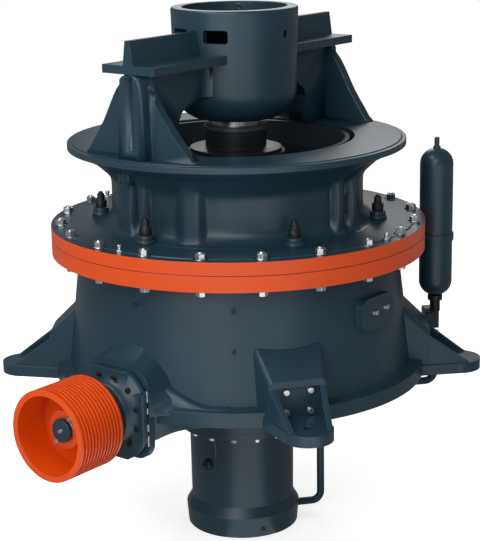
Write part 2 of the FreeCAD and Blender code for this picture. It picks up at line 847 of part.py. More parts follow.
foot_azimuth = SIZES["foot_azimuth"]
foot("foot_drive_right", foot_azimuth)
foot("foot_rear_right", 180 - foot_azimuth)
foot("foot_rear_left", 180 + foot_azimuth)
foot("foot_drive_left", -foot_azimuth)

# Upper flange: a ring with a raised land that is scalloped round each bolt.
land_edge = "ring_radius - land_inset"
flange_blank = turned("flange_blank", [
    ("upper_skirt_radius", "split_height"),
    ("ring_radius - edge_groove", "split_height"),
    ("ring_radius", "split_height + edge_groove"),
    ("ring_radius", "flange_top"),
    (land_edge, "flange_top"),
    (land_edge + " - land_rise", "flange_top + land_rise"),
    ("liner_seat_radius + skirt_step", "flange_top + land_rise"),
    ("liner_seat_radius + skirt_step", "flange_top"),
])
scallops = []
for index in range(SIZES["bolt_count"]):
    turn = 360 * (index + 0.5) / SIZES["bolt_count"]
    distance = "(ring_radius - bolt_circle_inset)"
    scallops.append(cylinder(
        f"scallop_{index}",
        "scallop_radius",
        "land_rise + 1",
        x=f"{distance} * sin({turn})",
        y=f"-{distance} * cos({turn})",
        z="flange_top",
    ))
scallop_ring = doc.addObject("Part::Compound", "scallop_ring")
scallop_ring.Links = scallops
upper_flange = cut("upper_flange", flange_blank, scallop_ring)
keep(upper_flange)

# Upper shell: the drum and the wide feed flange in one casting, with buttresses and ribs.
neck_foot = "flange_top + land_rise"
neck_drum = turned("neck_drum", [
    ("liner_seat_radius + skirt_step", neck_foot),
    ("neck_radius + fillet_height", neck_foot),
    ("neck_radius + fillet_height * 0.6", neck_foot + " + fillet_height * 0.08"),
    ("neck_radius + fillet_height * 0.29", neck_foot + " + fillet_height * 0.29"),
    ("neck_radius + fillet_height * 0.08", neck_foot + " + fillet_height * 0.6"),
    ("neck_radius", neck_foot + " + fillet_height"),
    ("neck_radius", "flare_start"),
    ("neck_radius + flare_reach * 0.3", "flare_start + flare_height * 0.6"),
    ("flare_radius", "flare_top"),
    ("flare_radius + feed_flange_reach * 0.25", "flare_top + feed_flange_rise * 0.5"),
    ("feed_rim_radius - 40", "feed_rim_under - 6"),
    ("feed_rim_radius", "feed_rim_under"),
    ("feed_rim_radius", "feed_rim_top - feed_edge_step - 3"),
    ("feed_rim_radius - 3", "feed_rim_top - feed_edge_step"),
    ("feed_rim_radius - feed_edge_width + feed_edge_step", "feed_rim_top - feed_edge_step"),
    ("feed_rim_radius - feed_edge_width", "feed_rim_top"),
    ("feed_radius", "feed_rim_top"),
    ("feed_radius", "liner_top - 66"),
    ("liner_seat_radius", "liner_top - 66"),
    ("liner_seat_radius", "liner_seat_low"),
])
buttress_parts = []
for azimuth in (-19, 19, 161, 199):
    ridge = prism(f"ridge_{azimuth % 360}", [
        ("neck_radius - 40", "-ridge_half_foot"),
        ("neck_radius + ridge_reach * 0.25", "-ridge_half_foot * 0.55"),
        ("neck_radius + ridge_reach", "-ridge_half_crest"),
        ("neck_radius + ridge_reach", "ridge_half_crest"),
        ("neck_radius + ridge_reach * 0.25", "ridge_half_foot * 0.55"),
        ("neck_radius - 40", "ridge_half_foot"),
    ], neck_foot, "flare_top + 20")
    buttress_parts.append(place_at(ridge, azimuth))
for azimuth in (-13, -5, 85, 95, 175, 167, 265, 275):
    rib = prism(f"rib_{azimuth % 360}", [
        ("neck_radius - 30", "-rib_thick / 2"),
        ("neck_radius + rib_reach", "-rib_thick / 2 + 6"),
        ("neck_radius + rib_reach", "rib_thick / 2 - 6"),
        ("neck_radius - 30", "rib_thick / 2"),
    ], neck_foot, "flare_top + 30")
    buttress_parts.append(place_at(rib, azimuth))
neck_core = turned("neck_core", [
    ("0", "flange_top"),
    ("liner_seat_radius + skirt_step", "flange_top"),
    ("liner_seat_radius + skirt_step", neck_foot),
    ("liner_seat_radius", "liner_seat_low"),
    ("liner_seat_radius", "flare_top + 60"),
    ("0", "flare_top + 60"),
])
buttresses = fuse("buttresses", *buttress_parts)
buttress_skin = cut("buttress_skin", buttresses, neck_core)
top_shell = fuse("top_shell", neck_drum, buttress_skin)
keep(top_shell)

# Concave liner: the manganese ring that the rock is crushed against.
concave_liner = turned("concave_liner", [
    ("liner_mouth + liner_rim_thick", "liner_top"),
    ("liner_mouth", "liner_top"),
    ("liner_throat", "head_shoulder_height - 10"),
    ("liner_mouth", "head_low + 150"),
    ("liner_low", "head_low"),
    ("upper_skirt_radius - liner_rim_step - 14", "head_low"),
    ("liner_seat_radius - seat_gap", "liner_seat_low - 8"),
    ("liner_seat_radius - seat_gap", "liner_top - 66"),
    ("liner_mouth + liner_rim_thick", "liner_top - 60"),
])
keep(concave_liner)

# Spider hub: the cup that holds the top bearing of the main shaft, with four grease windows.
spider_body = turned("spider_body", [
    ("0", "bowl_bottom"),
    ("cup_radius - bowl_draft", "bowl_bottom"),
    ("cup_radius", "cup_top"),
    ("0", "cup_top"),
])
round_edges(spider_body, spider_body.Tip, "bowl_rounding", "bowl_round", lambda edge: (
    is_ring(edge, number("cup_radius - bowl_draft"), number("bowl_bottom"))
))
round_edges(spider_body, spider_body.Tip, "lip_rounding", "cup_round", lambda edge: (
    is_ring(edge, number("cup_radius"), number("cup_top"))
))
spider_room = turned("spider_room", [
    ("0", "bowl_bottom - 1"),
    ("bowl_mouth", "bowl_bottom - 1"),
    ("bowl_mouth", "cup_floor"),
    ("cup_radius - cup_wall", "cup_floor"),
    ("cup_radius - cup_wall", "cup_top + 1"),
    ("0", "cup_top + 1"),
])
windows = []
window_turn = SIZES["window_azimuth"]
for azimuth in (-window_turn, window_turn, 180 - window_turn, 180 + window_turn):
    window = rounded_slab(
        f"window_{azimuth % 360:.0f}", "window_width / 2", "window_height / 2", "cup_radius + 20", "window_corner"
    )
    windows.append(place(window, azimuth, z="arm_top + window_rise"))
side_hole = doc.addObject("Part::Cylinder", "side_hole")
bind(side_hole, Radius="side_hole_radius", Height="2 * cup_radius + 20")
side_hole.Placement = Placement(Vector(), Rotation(Vector(0, 1, 0), 90))
side_hole.setExpression("Placement.Base.x", formula("-cup_radius - 10"))
side_hole.setExpression("Placement.Base.z", formula("arm_top + window_rise"))
spider_hub = cut("spider_hub", spider_body, spider_room, side_hole, *windows)
keep(spider_hub)

# Spider arms: a web that arches down into a leg, braced by a channelled pillar and two spread fins.
corner_x = "sqrt((cup_radius - bowl_draft / 2 + web_round) ^ 2 - (arm_thick / 2 + web_round) ^ 2)"
web_corner = [
    (f"{corner_x} + web_round * cos({turn})", f"arm_thick / 2 + web_round + web_round * sin({turn})")
    for turn in (-90, -104, -118, -132, -146, -160)
]
for name, azimuth in (("drive", 0), ("rear", 180)):
    web = plate(name + "_web", "XZ_Plane", [
        ("cup_radius - 80", "arm_top"),
        ("arm_end - 20", "arm_top"),
        ("arm_end - 20", "feed_rim_top"),
        ("leg_inner", "feed_rim_top"),
        ("leg_inner - 5", "feed_rim_top + 115"),
        ("leg_inner - 22", "feed_rim_top + 175"),
        ("leg_inner - 50", "feed_rim_top + 225"),
        ("leg_inner - 120", "feed_rim_top + 268"),
        ("leg_inner - 220", "feed_rim_top + 286"),
        ("cup_radius - 80", "feed_rim_top + 288"),
    ], "arm_thick")
    collar_end = ("cup_radius - 80", web_corner[-1][1])
    collar = prism(name + "_web_collar", mirrored_plan(web_corner + [collar_end]), "feed_rim_top + 290", "arm_top")
    pillar_side = [
        ("pillar_half_low", "feed_rim_top"),
        ("pillar_half_high", "arm_top - 60"),
        ("pillar_half_high", "arm_top"),
    ]
    pillar = upright(name + "_pillar", mirrored(pillar_side), "arm_end - pillar_depth", "pillar_depth")
    round_edges(pillar, pillar.Tip, name + "_pillar_rounds", "pillar_round", lambda edge: (
        edge.CenterOfMass.x > number("pillar_depth") - 0.5 and abs(edge.CenterOfMass.y) > 10
        and edge.Length > 100
    ))
    channel = upright(name + "_channel", [
        ("-channel_width / 2", "feed_rim_top + 50"),
        ("channel_width / 2", "feed_rim_top + 50"),
        ("channel_width / 2", "arm_top - 15"),
        ("-channel_width / 2", "arm_top - 15"),
    ], "arm_end - channel_depth", "channel_depth + 5")
    fins = upright(name + "_fins", mirrored([
        ("fin_half_width", "feed_rim_top"),
        ("fin_half_width - 8", "feed_rim_top + 12"),
        ("fin_half_width - 60", "feed_rim_top + 56"),
        ("fin_half_width - 105", "feed_rim_top + 104"),
        ("fin_half_width - 153", "feed_rim_top + 156"),
        ("fin_half_width - 195", "feed_rim_top + 209"),
        ("fin_half_width - 238", "feed_rim_top + 264"),
        ("fin_half_width - 275", "feed_rim_top + 319"),
        ("fin_half_width - 310", "feed_rim_top + 384"),
        ("fin_half_width - 335", "arm_top"),
    ]), "arm_end - fin_depth", "fin_thick")
    leg_whole = fuse(name + "_leg_whole", web, collar, pillar, fins)
    leg = place(cut(name + "_leg", leg_whole, channel), azimuth)
    keep(cut("spider_arm_" + name, leg, spider_body))
    guard_plate = plate(name + "_guard_plate", "XZ_Plane", [
        ("cup_radius - 100", "arm_top"),
        ("guard_end", "arm_top"),
        ("guard_end", "arm_top + guard_thick"),
        ("cup_radius - 100", "arm_top + guard_thick"),
    ], "guard_width")
    guard_rib = upright(name + "_guard_rib", [
        ("-guard_rib_foot / 2", "arm_top + guard_thick - 1"),
        ("guard_rib_foot / 2", "arm_top + guard_thick - 1"),
        ("guard_rib_crest / 2", "arm_top + guard_thick + guard_rib_height"),
        ("-guard_rib_crest / 2", "arm_top + guard_thick + guard_rib_height"),
    ], "cup_radius - 100", "guard_end - cup_radius + 100")
    guard = place(fuse(name + "_guard", guard_plate, guard_rib), azimuth)
    keep(cut("arm_guard_" + name, guard, spider_body))

# Top bearing: a bronze bushing in the spider and the cap over it.
spider_bushing = turned("spider_bushing", [
    ("bushing_bore", "bowl_bottom + bushing_inset"),
    ("bowl_mouth", "bowl_bottom + bushing_inset"),
    ("bowl_mouth", "cup_floor - bushing_end_gap"),
    ("bushing_bore", "cup_floor - bushing_end_gap"),
])

spider_cap = turned("spider_cap", [
    ("0", "cup_floor"),
    ("spider_cap_radius", "cup_floor"),
    ("spider_cap_radius", "cup_floor + spider_cap_thick"),
    ("0", "cup_floor + spider_cap_thick"),
])
keep(spider_bushing, spider_cap)

# Head assembly. Its axis leans through the pivot in the top bearing.
lean = math.degrees(math.atan2(number("throw"), number("pivot_height - throw_height")))
pivot = Vector(0, 0, number("pivot_height"))
lean_turn = Rotation(Vector(0, 1, 0), lean)


def leaning(item):
    """Leans a piece about the pivot, so that its foot moves towards -X."""
    item.Placement = Placement(pivot - lean_turn.multVec(pivot), lean_turn)
    return item


main_shaft = leaning(turned("main_shaft", [
    ("0", "main_shaft_bottom"),
    ("shaft_low_radius - 10", "main_shaft_bottom"),
    ("shaft_low_radius", "main_shaft_bottom + 10"),
    ("shaft_low_radius", "head_top"),
    ("journal_radius", "head_top"),
    ("journal_radius", "main_shaft_top"),
    ("0", "main_shaft_top"),
]))
head_core = leaning(turned("head_core", [
    ("shaft_low_radius", "head_room_top"),
    ("head_room_radius - 60", "head_room_top"),
    ("head_room_radius", "head_room_top - 60"),
    ("head_room_radius", "head_under"),
    ("head_bottom_radius - mantle_thick", "head_under"),
    ("head_bottom_radius - mantle_thick", "head_low"),
    ("head_shoulder - mantle_thick", "head_shoulder_height"),
    ("head_shoulder - mantle_thick", "head_top"),
    ("shaft_low_radius", "head_top"),
]))
mantle = leaning(turned("mantle", [
    ("head_bottom_radius - mantle_thick", "head_under"),
    ("head_bottom_radius", "head_under"),
    ("head_bottom_radius", "head_low"),
    ("head_shoulder", "head_shoulder_height"),
    ("head_shoulder", "head_top"),
    ("head_shoulder - mantle_thick", "head_top"),
    ("head_shoulder - mantle_thick", "head_shoulder_height"),
    ("head_bottom_radius - mantle_thick", "head_low"),
]))
head_nut = leaning(turned("head_nut", [
    ("journal_radius", "head_top"),
    ("head_shoulder - 20", "head_top"),
    ("head_shoulder - 20", "head_top + 22"),
    ("nut_radius", "head_top + 30"),
    ("nut_radius", "nut_top"),
    ("journal_radius", "nut_top"),
]))
shaft_sleeve = leaning(turned("shaft_sleeve", [
    ("journal_radius", "nut_top"),
    ("band_radius - 14", "nut_top"),
    ("band_radius", "nut_top + 8"),
    ("band_radius", "band_top - 8"),
    ("band_radius - 8", "band_top"),
    ("journal_radius", "band_top"),
]))
keep(main_shaft, head_core, mantle, head_nut, shaft_sleeve)

# Step washer under the main shaft and the piston that lifts it. Their faces are one sphere about the pivot.
washer_blank = leaning(turned("washer_blank", [
    ("0", "washer_bottom - 20"),
    ("washer_radius", "washer_bottom - 20"),
    ("washer_radius", "main_shaft_bottom - seat_gap"),
    ("0", "main_shaft_bottom - seat_gap"),
]))
washer_ball = doc.addObject("Part::Sphere", "washer_ball")
bind(washer_ball, Radius="pivot_height - washer_bottom")
washer_ball.setExpression("Placement.Base.z", formula("pivot_height"))
step_washer = doc.addObject("Part::Common", "step_washer")
step_washer.Base = washer_blank
step_washer.Tool = washer_ball
piston_blank = turned("piston_blank", [
    ("0", "piston_bottom"),
    ("piston_radius", "piston_bottom"),
    ("piston_radius", "piston_top"),
    ("rod_radius", "piston_top"),
    ("rod_radius", "washer_bottom + 30"),
    ("0", "washer_bottom + 30"),
])
cup_ball = doc.addObject("Part::Sphere", "cup_ball")
bind(cup_ball, Radius="pivot_height - washer_bottom + seat_gap")
cup_ball.setExpression("Placement.Base.z", formula("pivot_height"))
piston = cut("piston", piston_blank, cup_ball)
keep(step_washer, piston)

# Eccentric sleeve with its leaning bore, the bevel gear on its foot and the ring that it turns on.
eccentric_blank = turned("eccentric_blank", [
    ("0", "eccentric_bottom"),
    ("eccentric_radius", "eccentric_bottom"),
    ("eccentric_radius", "eccentric_top"),
    ("0", "eccentric_top"),
])
leaning_bore = leaning(turned("leaning_bore", [
    ("0", "eccentric_bottom - 50"),
    ("eccentric_bore", "eccentric_bottom - 50"),
    ("eccentric_bore", "eccentric_top + 50"),
    ("0", "eccentric_top + 50"),
]))
eccentric_sleeve = cut("eccentric_sleeve", eccentric_blank, leaning_bore)
bevel_gear = turned("bevel_gear", [
    ("eccentric_radius", "gear_bottom"),
    ("gear_radius", "gear_bottom"),
    ("gear_radius", "gear_top - 14"),
    ("eccentric_radius + 10", "gear_top"),
    ("eccentric_radius", "gear_top"),
])
thrust_ring = turned("thrust_ring", [
    ("rod_bore", "gear_room_floor"),
    ("eccentric_radius - 10", "gear_room_floor"),
    ("eccentric_radius - 10", "eccentric_bottom - seat_gap"),
    ("rod_bore", "eccentric_bottom - seat_gap"),
])
keep(eccentric_sleeve, bevel_gear, thrust_ring)

# Hydraulic cylinder: hangs under the hub and carries the main shaft.
cylinder_body = turned("hydraulic_cylinder", [
    ("piston_radius + seat_gap", "hub_bottom"),
    ("cylinder_flange_radius", "hub_bottom"),
    ("cylinder_flange_radius", "hub_bottom - cylinder_flange_thick"),
    ("cylinder_radius", "hub_bottom - cylinder_flange_thick"),
    ("cylinder_radius - 5", "cylinder_waist"),
    ("cylinder_foot_radius", "cylinder_foot_top"),
    ("cylinder_foot_radius - 8", "cylinder_bottom"),
    ("piston_radius + seat_gap", "cylinder_bottom"),
])
cylinder_cover = turned("cylinder_cover", [
    ("0", "cylinder_bottom"),
    ("cover_radius", "cylinder_bottom"),
    ("cover_radius", "cylinder_bottom - cover_thick + 6"),
    ("cover_radius - 6", "cylinder_bottom - cover_thick"),
    ("0", "cylinder_bottom - cover_thick"),
])
keep(cylinder_body, cylinder_cover)

# Nitrogen accumulator beside the rear right foot, held by a band under the flange.
tank_turn = math.radians(number("tank_azimuth"))
tank_x = "tank_distance * sin(tank_azimuth)"
tank_y = "-tank_distance * cos(tank_azimuth)"
tank = doc.addObject("PartDesign::Body", "tank")
tank_sketch = outline(tank, "XZ_Plane", "tank_section", [
    ("0", "tank_bottom"),
    ("tank_radius", "tank_bottom"),
    ("tank_radius", "tank_top"),
    ("0", "tank_top"),
])
tank_spin = tank.newObject("PartDesign::Revolution", "tank_turned")
tank_spin.Profile = tank_sketch
tank_spin.ReferenceAxis = (tank_sketch, ["V_Axis"])
round_edges(tank, tank_spin, "tank_domes", "tank_dome", lambda edge: (
    is_ring(edge, number("tank_radius"), number("tank_bottom"))
    or is_ring(edge, number("tank_radius"), number("tank_top"))
))
place(tank, 90, x=tank_x, y=tank_y)
valve = turned("valve_stem", [
    ("0", "tank_top - 20"),
    ("stem_radius + 8", "tank_top - 20"),
    ("stem_radius + 8", "tank_top + 12"),
    ("stem_radius", "tank_top + 16"),
    ("stem_radius", "tank_top + stem_height - 6"),
    ("stem_radius - 5", "tank_top + stem_height"),
    ("0", "tank_top + stem_height"),
])
place(valve, 90, x=tank_x, y=tank_y)
neck = turned("accumulator_neck", [
    ("0", "block_top"),
    ("neck_pipe_radius", "block_top"),
    ("neck_pipe_radius", "tank_bottom - collar_thick"),
    ("collar_radius", "tank_bottom - collar_thick"),
    ("collar_radius", "tank_bottom"),
    ("0", "tank_bottom"),
])
place(neck, 90, x=tank_x, y=tank_y)
accumulator = fuse("accumulator", tank, valve)
keep(accumulator, neck)

# Manifold block under the accumulator, on a bracket from the drum.
tank_side = Rotation(Vector(0, 0, 1), SIZES["tank_azimuth"] - 90)


def beside_tank(name, start, end, width, low, high):
    """A square bar on the accumulator's bearing, between two distances from the axis."""
    item = doc.addObject("Part::Box", name)
    bind(item, Length=f"{end} - ({start})", Width=width, Height=f"{high} - ({low})")
    item.Placement = Placement(Vector(), tank_side)
    item.setExpression("Placement.Base.x", formula(f"({start}) * sin(tank_azimuth) + {width} / 2 * cos(tank_azimuth)"))
    item.setExpression("Placement.Base.y", formula(f"-({start}) * cos(tank_azimuth) + {width} / 2 * sin(tank_azimuth)"))
    item.setExpression("Placement.Base.z", formula(low))
    return item


block = beside_tank(
    "block", "tank_distance - block_width / 2", "tank_distance + block_width / 2", "block_width",
    "block_bottom", "block_top",
)
bracket = beside_tank(
    "bracket", "shell_radius_high", "tank_distance", "bracket_width", "block_bottom + 20", "block_top - 30"
)
block_whole = fuse("block_whole", block, bracket)
keep(cut("manifold_block", block_whole, shell_solid))


# Band and bar that hold the accumulator below the flange.
band_blank = turned("band_blank", [
    ("tank_radius", "band_low"),
    ("tank_radius + band_thick", "band_low"),
    ("tank_radius + band_thick", "band_high"),
    ("tank_radius", "band_high"),
])
place(band_blank, 90, x=tank_x, y=tank_y)
band_bar = beside_tank(
    "band_bar", "shell_radius_high - shell_wall / 2", "tank_distance", "band_bar_width", "band_low", "band_high"
)
band_whole = fuse("band_whole", band_blank, band_bar)
tank_bar = cylinder("tank_bar", "tank_radius", "tank_top", x=tank_x, y=tank_y)
accumulator_clamp = cut("accumulator_clamp", band_whole, shell_solid, tank_bar)
keep(accumulator_clamp)


# Oil line: down from the manifold, in under the shell, and down to the cylinder's port.
def pipe_straight(name, start, end):
    span = end - start
    item = doc.addObject("Part::Cylinder", name)
    bind(item, Radius="pipe_radius")
    item.Height = span.Length
    item.Placement = Placement(start, Rotation(Vector(0, 0, 1), span))
    return item


def pipe_elbow(name, before, point, after):
    """A quarter of a torus that joins two square runs."""
    into = (point - before).normalize()
    out = (after - point).normalize()
    bend = number("pipe_bend")
    middle = point - into * bend + out * bend
    item = doc.addObject("Part::Torus", name)
    bind(item, Radius1="pipe_bend", Radius2="pipe_radius")
    item.Angle3 = 90
    item.Placement = Placement(middle, Rotation(out * -1, into, out.cross(into) * -1, "XYZ"))
    return item


def radial(distance, height):
    return Vector(distance * math.sin(tank_turn), -distance * math.cos(tank_turn), height)


route = [
    radial(number("tank_distance"), number("block_bottom")),
    radial(number("tank_distance"), number("pipe_run_height")),
    radial(number("pipe_drop_radius"), number("pipe_run_height")),
    radial(number("pipe_drop_radius"), number("port_height")),
    radial(number("cylinder_foot_radius") - 30, number("port_height")),
]
pieces = []
start = route[0]
for index in range(1, len(route)):
    direction = (route[index] - route[index - 1]).normalize()
    last = index == len(route) - 1
    end = route[index] if last else route[index] - direction * number("pipe_bend")
    pieces.append(pipe_straight(f"pipe_run_{index}", start, end))
    if not last:
        pieces.append(pipe_elbow(f"pipe_elbow_{index}", route[index - 1], route[index], route[index + 1]))
        start = route[index] + (route[index + 1] - route[index]).normalize() * number("pipe_bend")
pipe_whole = fuse("pipe_whole", *pieces)
keep(cut("oil_pipe", pipe_whole, cylinder_body))

# Guide pins: six bosses with tapered caps round the upper flange.
pin_foot = "flange_top + land_rise"
pins = []
for index in range(6):
    pin = turned(f"guide_pin_{index}", [
        ("0", pin_foot),
        ("pin_base_radius", pin_foot),
        ("pin_base_radius", pin_foot + " + pin_base_height / 2"),
        ("pin_radius", pin_foot + " + pin_base_height"),
        ("pin_radius", pin_foot + " + pin_body_height"),
        ("pin_radius - 7", pin_foot + " + pin_body_height"),
        ("pin_cone_radius", pin_foot + " + pin_cone_height"),
        ("pin_tip_radius", pin_foot + " + pin_cone_height"),
        ("pin_tip_radius - 2", pin_foot + " + pin_height"),
        ("0", pin_foot + " + pin_height"),
    ])
    turn = 60 * index
    place(pin, turn, x=f"pin_circle * sin({turn})", y=f"-pin_circle * cos({turn})")
    pins.append(pin)
guide_pins = doc.addObject("Part::Compound", "guide_pins")
guide_pins.Links = pins
keep(guide_pins)



def check_and_write():
    doc.recompute()
    bad = [item.Name for item in doc.Objects if "Invalid" in item.State or "Error" in item.State]
    if bad:
        sys.exit("failed objects: " + ", ".join(bad))
    os.makedirs("parts", exist_ok=True)
    for item in nodes:
        shape = item.Shape
        if shape.isNull() or not shape.isValid() or shape.Volume <= 0:
            sys.exit("bad shape: " + item.Label)
        shape.exportStep(os.path.join("parts", item.Label + ".step"))
        print(item.Label, len(shape.Solids), round(shape.Volume / 1e9, 4))


check_and_write()
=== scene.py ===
import json
from math import cos, pi, radians, sin, sqrt

import bpy
from mathutils import Matrix, Vector


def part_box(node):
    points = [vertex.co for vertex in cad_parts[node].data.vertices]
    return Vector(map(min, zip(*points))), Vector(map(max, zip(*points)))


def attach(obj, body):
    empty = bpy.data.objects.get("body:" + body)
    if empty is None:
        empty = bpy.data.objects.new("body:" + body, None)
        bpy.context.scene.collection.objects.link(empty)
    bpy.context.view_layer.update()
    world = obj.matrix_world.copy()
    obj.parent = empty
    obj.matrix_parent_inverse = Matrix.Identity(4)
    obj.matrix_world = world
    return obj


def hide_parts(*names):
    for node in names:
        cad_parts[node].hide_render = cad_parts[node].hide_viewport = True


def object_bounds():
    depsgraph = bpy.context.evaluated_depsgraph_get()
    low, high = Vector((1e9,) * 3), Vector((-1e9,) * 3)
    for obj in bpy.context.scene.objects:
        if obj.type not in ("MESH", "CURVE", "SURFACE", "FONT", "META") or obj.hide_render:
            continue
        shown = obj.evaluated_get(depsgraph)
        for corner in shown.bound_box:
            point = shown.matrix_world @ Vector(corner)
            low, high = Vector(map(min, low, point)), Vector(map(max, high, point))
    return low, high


# Cone crusher of the single cylinder kind. Azimuths turn from the drive side, -Y, towards +X.
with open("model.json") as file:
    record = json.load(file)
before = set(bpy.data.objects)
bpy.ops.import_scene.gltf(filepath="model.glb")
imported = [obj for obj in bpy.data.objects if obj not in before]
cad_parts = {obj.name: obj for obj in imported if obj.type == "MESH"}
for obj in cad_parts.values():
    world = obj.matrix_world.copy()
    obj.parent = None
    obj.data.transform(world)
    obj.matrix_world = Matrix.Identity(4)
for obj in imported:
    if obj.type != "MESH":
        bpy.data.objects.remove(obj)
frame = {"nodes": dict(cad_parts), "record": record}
cad_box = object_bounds()

# Camera: a long lens, a little above the feed opening, looking down at the shells from the
# drive side's right hand.
scene = bpy.context.scene
CAMERA_PLACE = (6.031, -7.664, 3.143)
CAMERA_HEADING = 38.16
CAMERA_PITCH = 75.58
CAMERA_ROLL = -1.007
camera_data = bpy.data.cameras.new("camera")
camera_data.sensor_width = 36
camera_data.sensor_fit = "AUTO"
camera_data.lens = 107.47
camera_data.clip_end = 400
camera = bpy.data.objects.new("camera", camera_data)
scene.collection.objects.link(camera)
camera.matrix_world = (
    Matrix.Translation(CAMERA_PLACE)
    @ Matrix.Rotation(radians(CAMERA_HEADING), 4, "Z")
    @ Matrix.Rotation(radians(CAMERA_PITCH), 4, "X")
    @ Matrix.Rotation(radians(CAMERA_ROLL), 4, "Z")
)
scene.camera = camera

# Studio: a white floor that runs out to the horizon under a soft white sky. In reflections the
# floor is dark but for one bright panel on the camera's side, and the sky is dimmer.
scene.view_settings.view_transform = "Standard"
FLOOR_LEVEL = cad_box[0][2]
FLOOR_GLOW = 0.65
FLOOR_LIGHT = 0.22
PANEL_LIGHT = 1.25
PANEL_AZIMUTH = radians(48)
PANEL_HALF = radians(27)
PANEL_EDGE = radians(30)
SKY_LIGHT = 0.45
SKY_MIRROR_LOSS = 0.30


def math_node(nodes, operation, second=None):
    """A node for one step of arithmetic, with its second value where that one is fixed."""
    node = nodes.new("ShaderNodeMath")
    node.operation = operation
    if second is not None:
        node.inputs[1].default_value = second
    return node


bpy.ops.object.select_all(action="DESELECT")
bpy.ops.mesh.primitive_plane_add(size=360, location=(0, 0, FLOOR_LEVEL))
floor = bpy.context.object
bpy.ops.object.transform_apply(location=True)
floor.name = "studio_floor"
floor_paint = bpy.data.materials.new("white_floor")
floor_paint.use_nodes = True
floor_nodes = floor_paint.node_tree.nodes
floor_nodes.clear()
floor_out = floor_nodes.new("ShaderNodeOutputMaterial")
floor_matt = floor_nodes.new("ShaderNodeBsdfDiffuse")
floor_matt.inputs["Color"].default_value = (0.82, 0.82, 0.82, 1)
floor_glow = floor_nodes.new("ShaderNodeEmission")
floor_shine = floor_nodes.new("ShaderNodeEmission")
floor_rays = floor_nodes.new("ShaderNodeLightPath")
floor_place = floor_nodes.new("ShaderNodeTexCoord")
floor_split = floor_nodes.new("ShaderNodeSeparateXYZ")
floor_back = math_node(floor_nodes, "MULTIPLY", -1)
floor_turn = math_node(floor_nodes, "ARCTAN2")
floor_off = math_node(floor_nodes, "SUBTRACT", PANEL_AZIMUTH)
floor_side = math_node(floor_nodes, "ABSOLUTE")
floor_panel = floor_nodes.new("ShaderNodeMapRange")
floor_panel.inputs["From Min"].default_value = PANEL_HALF
floor_panel.inputs["From Max"].default_value = PANEL_EDGE
floor_panel.inputs["To Min"].default_value = PANEL_LIGHT
floor_panel.inputs["To Max"].default_value = FLOOR_LIGHT
floor_white = math_node(floor_nodes, "MULTIPLY", FLOOR_GLOW)
floor_add = floor_nodes.new("ShaderNodeAddShader")
floor_mix = floor_nodes.new("ShaderNodeMixShader")
for source, target in (
    (floor_place.outputs["Object"], floor_split.inputs[0]),
    (floor_split.outputs["Y"], floor_back.inputs[0]),
    (floor_split.outputs["X"], floor_turn.inputs[0]),
    (floor_back.outputs[0], floor_turn.inputs[1]),
    (floor_turn.outputs[0], floor_off.inputs[0]),
    (floor_off.outputs[0], floor_side.inputs[0]),
    (floor_side.outputs[0], floor_panel.inputs["Value"]),
    (floor_panel.outputs["Result"], floor_shine.inputs["Strength"]),
    (floor_rays.outputs["Is Camera Ray"], floor_white.inputs[0]),
    (floor_white.outputs[0], floor_glow.inputs["Strength"]),
    (floor_matt.outputs[0], floor_add.inputs[0]),
    (floor_glow.outputs[0], floor_add.inputs[1]),
    (floor_rays.outputs["Is Glossy Ray"], floor_mix.inputs["Fac"]),
    (floor_add.outputs[0], floor_mix.inputs[1]),
    (floor_shine.outputs[0], floor_mix.inputs[2]),
    (floor_mix.outputs[0], floor_out.inputs["Surface"]),
):
    floor_paint.node_tree.links.new(source, target)
floor.data.materials.append(floor_paint)

world = bpy.data.worlds.new("studio_sky")
scene.world = world
world.use_nodes = True
sky_nodes = world.node_tree.nodes
sky = sky_nodes["Background"]
sky.inputs["Color"].default_value = (1, 1, 1, 1)
sky_rays = sky_nodes.new("ShaderNodeLightPath")
sky_level = sky_nodes.new("ShaderNodeMapRange")
sky_level.inputs["To Min"].default_value = SKY_LIGHT
sky_level.inputs["To Max"].default_value = 1
sky_dim = math_node(sky_nodes, "MULTIPLY", SKY_MIRROR_LOSS)
sky_net = math_node(sky_nodes, "SUBTRACT")
for source, target in (
    (sky_rays.outputs["Is Camera Ray"], sky_level.inputs["Value"]),
    (sky_rays.outputs["Is Glossy Ray"], sky_dim.inputs[0]),
    (sky_level.outputs["Result"], sky_net.inputs[0]),
    (sky_dim.outputs[0], sky_net.inputs[1]),
    (sky_net.outputs[0], sky.inputs["Strength"]),
):
    world.node_tree.links.new(source, target)

# Lamps: two wide soft boxes on the camera's side, one lamp above them and one behind the machine,
# all turned to the middle of the shells.
LAMP_AIM = Vector((0, 0, 0.6))
for lamp_name, place, width, height, power in (
    ("soft_box", (1.5, -8.5, 3.0), 6.0, 5.0, 200),
    ("front_fill", (3.5, -6.5, 5.5), 5.0, 4.0, 170),
    ("top_lamp", (-1.5, -4.5, 7.5), 3.0, 3.0, 190),
    ("back_lamp", (-4.0, 6.5, 5.5), 4.0, 3.0, 150),
):
    lamp = bpy.data.lights.new(lamp_name, "AREA")
    lamp.shape = "RECTANGLE"
    lamp.size = width
    lamp.size_y = height
    lamp.energy = power
    holder = bpy.data.objects.new(lamp_name, lamp)
    scene.collection.objects.link(holder)
    holder.location = place
    aim = LAMP_AIM - holder.location
    holder.rotation_euler = aim.to_track_quat("-Z", "Y").to_euler()

# Cast steel body: two coats of dark blue-grey machine paint over fettled castings. The paint is
# a little uneven and grainy where the casting is. Its edges are painted lighter: partly rubbed
# paint, partly a painted highlight where the light catches them.
PAINT_BLUE = (0.0135, 0.0395, 0.060)
FLANGE_ORANGE = (0.68, 0.068, 0.003)


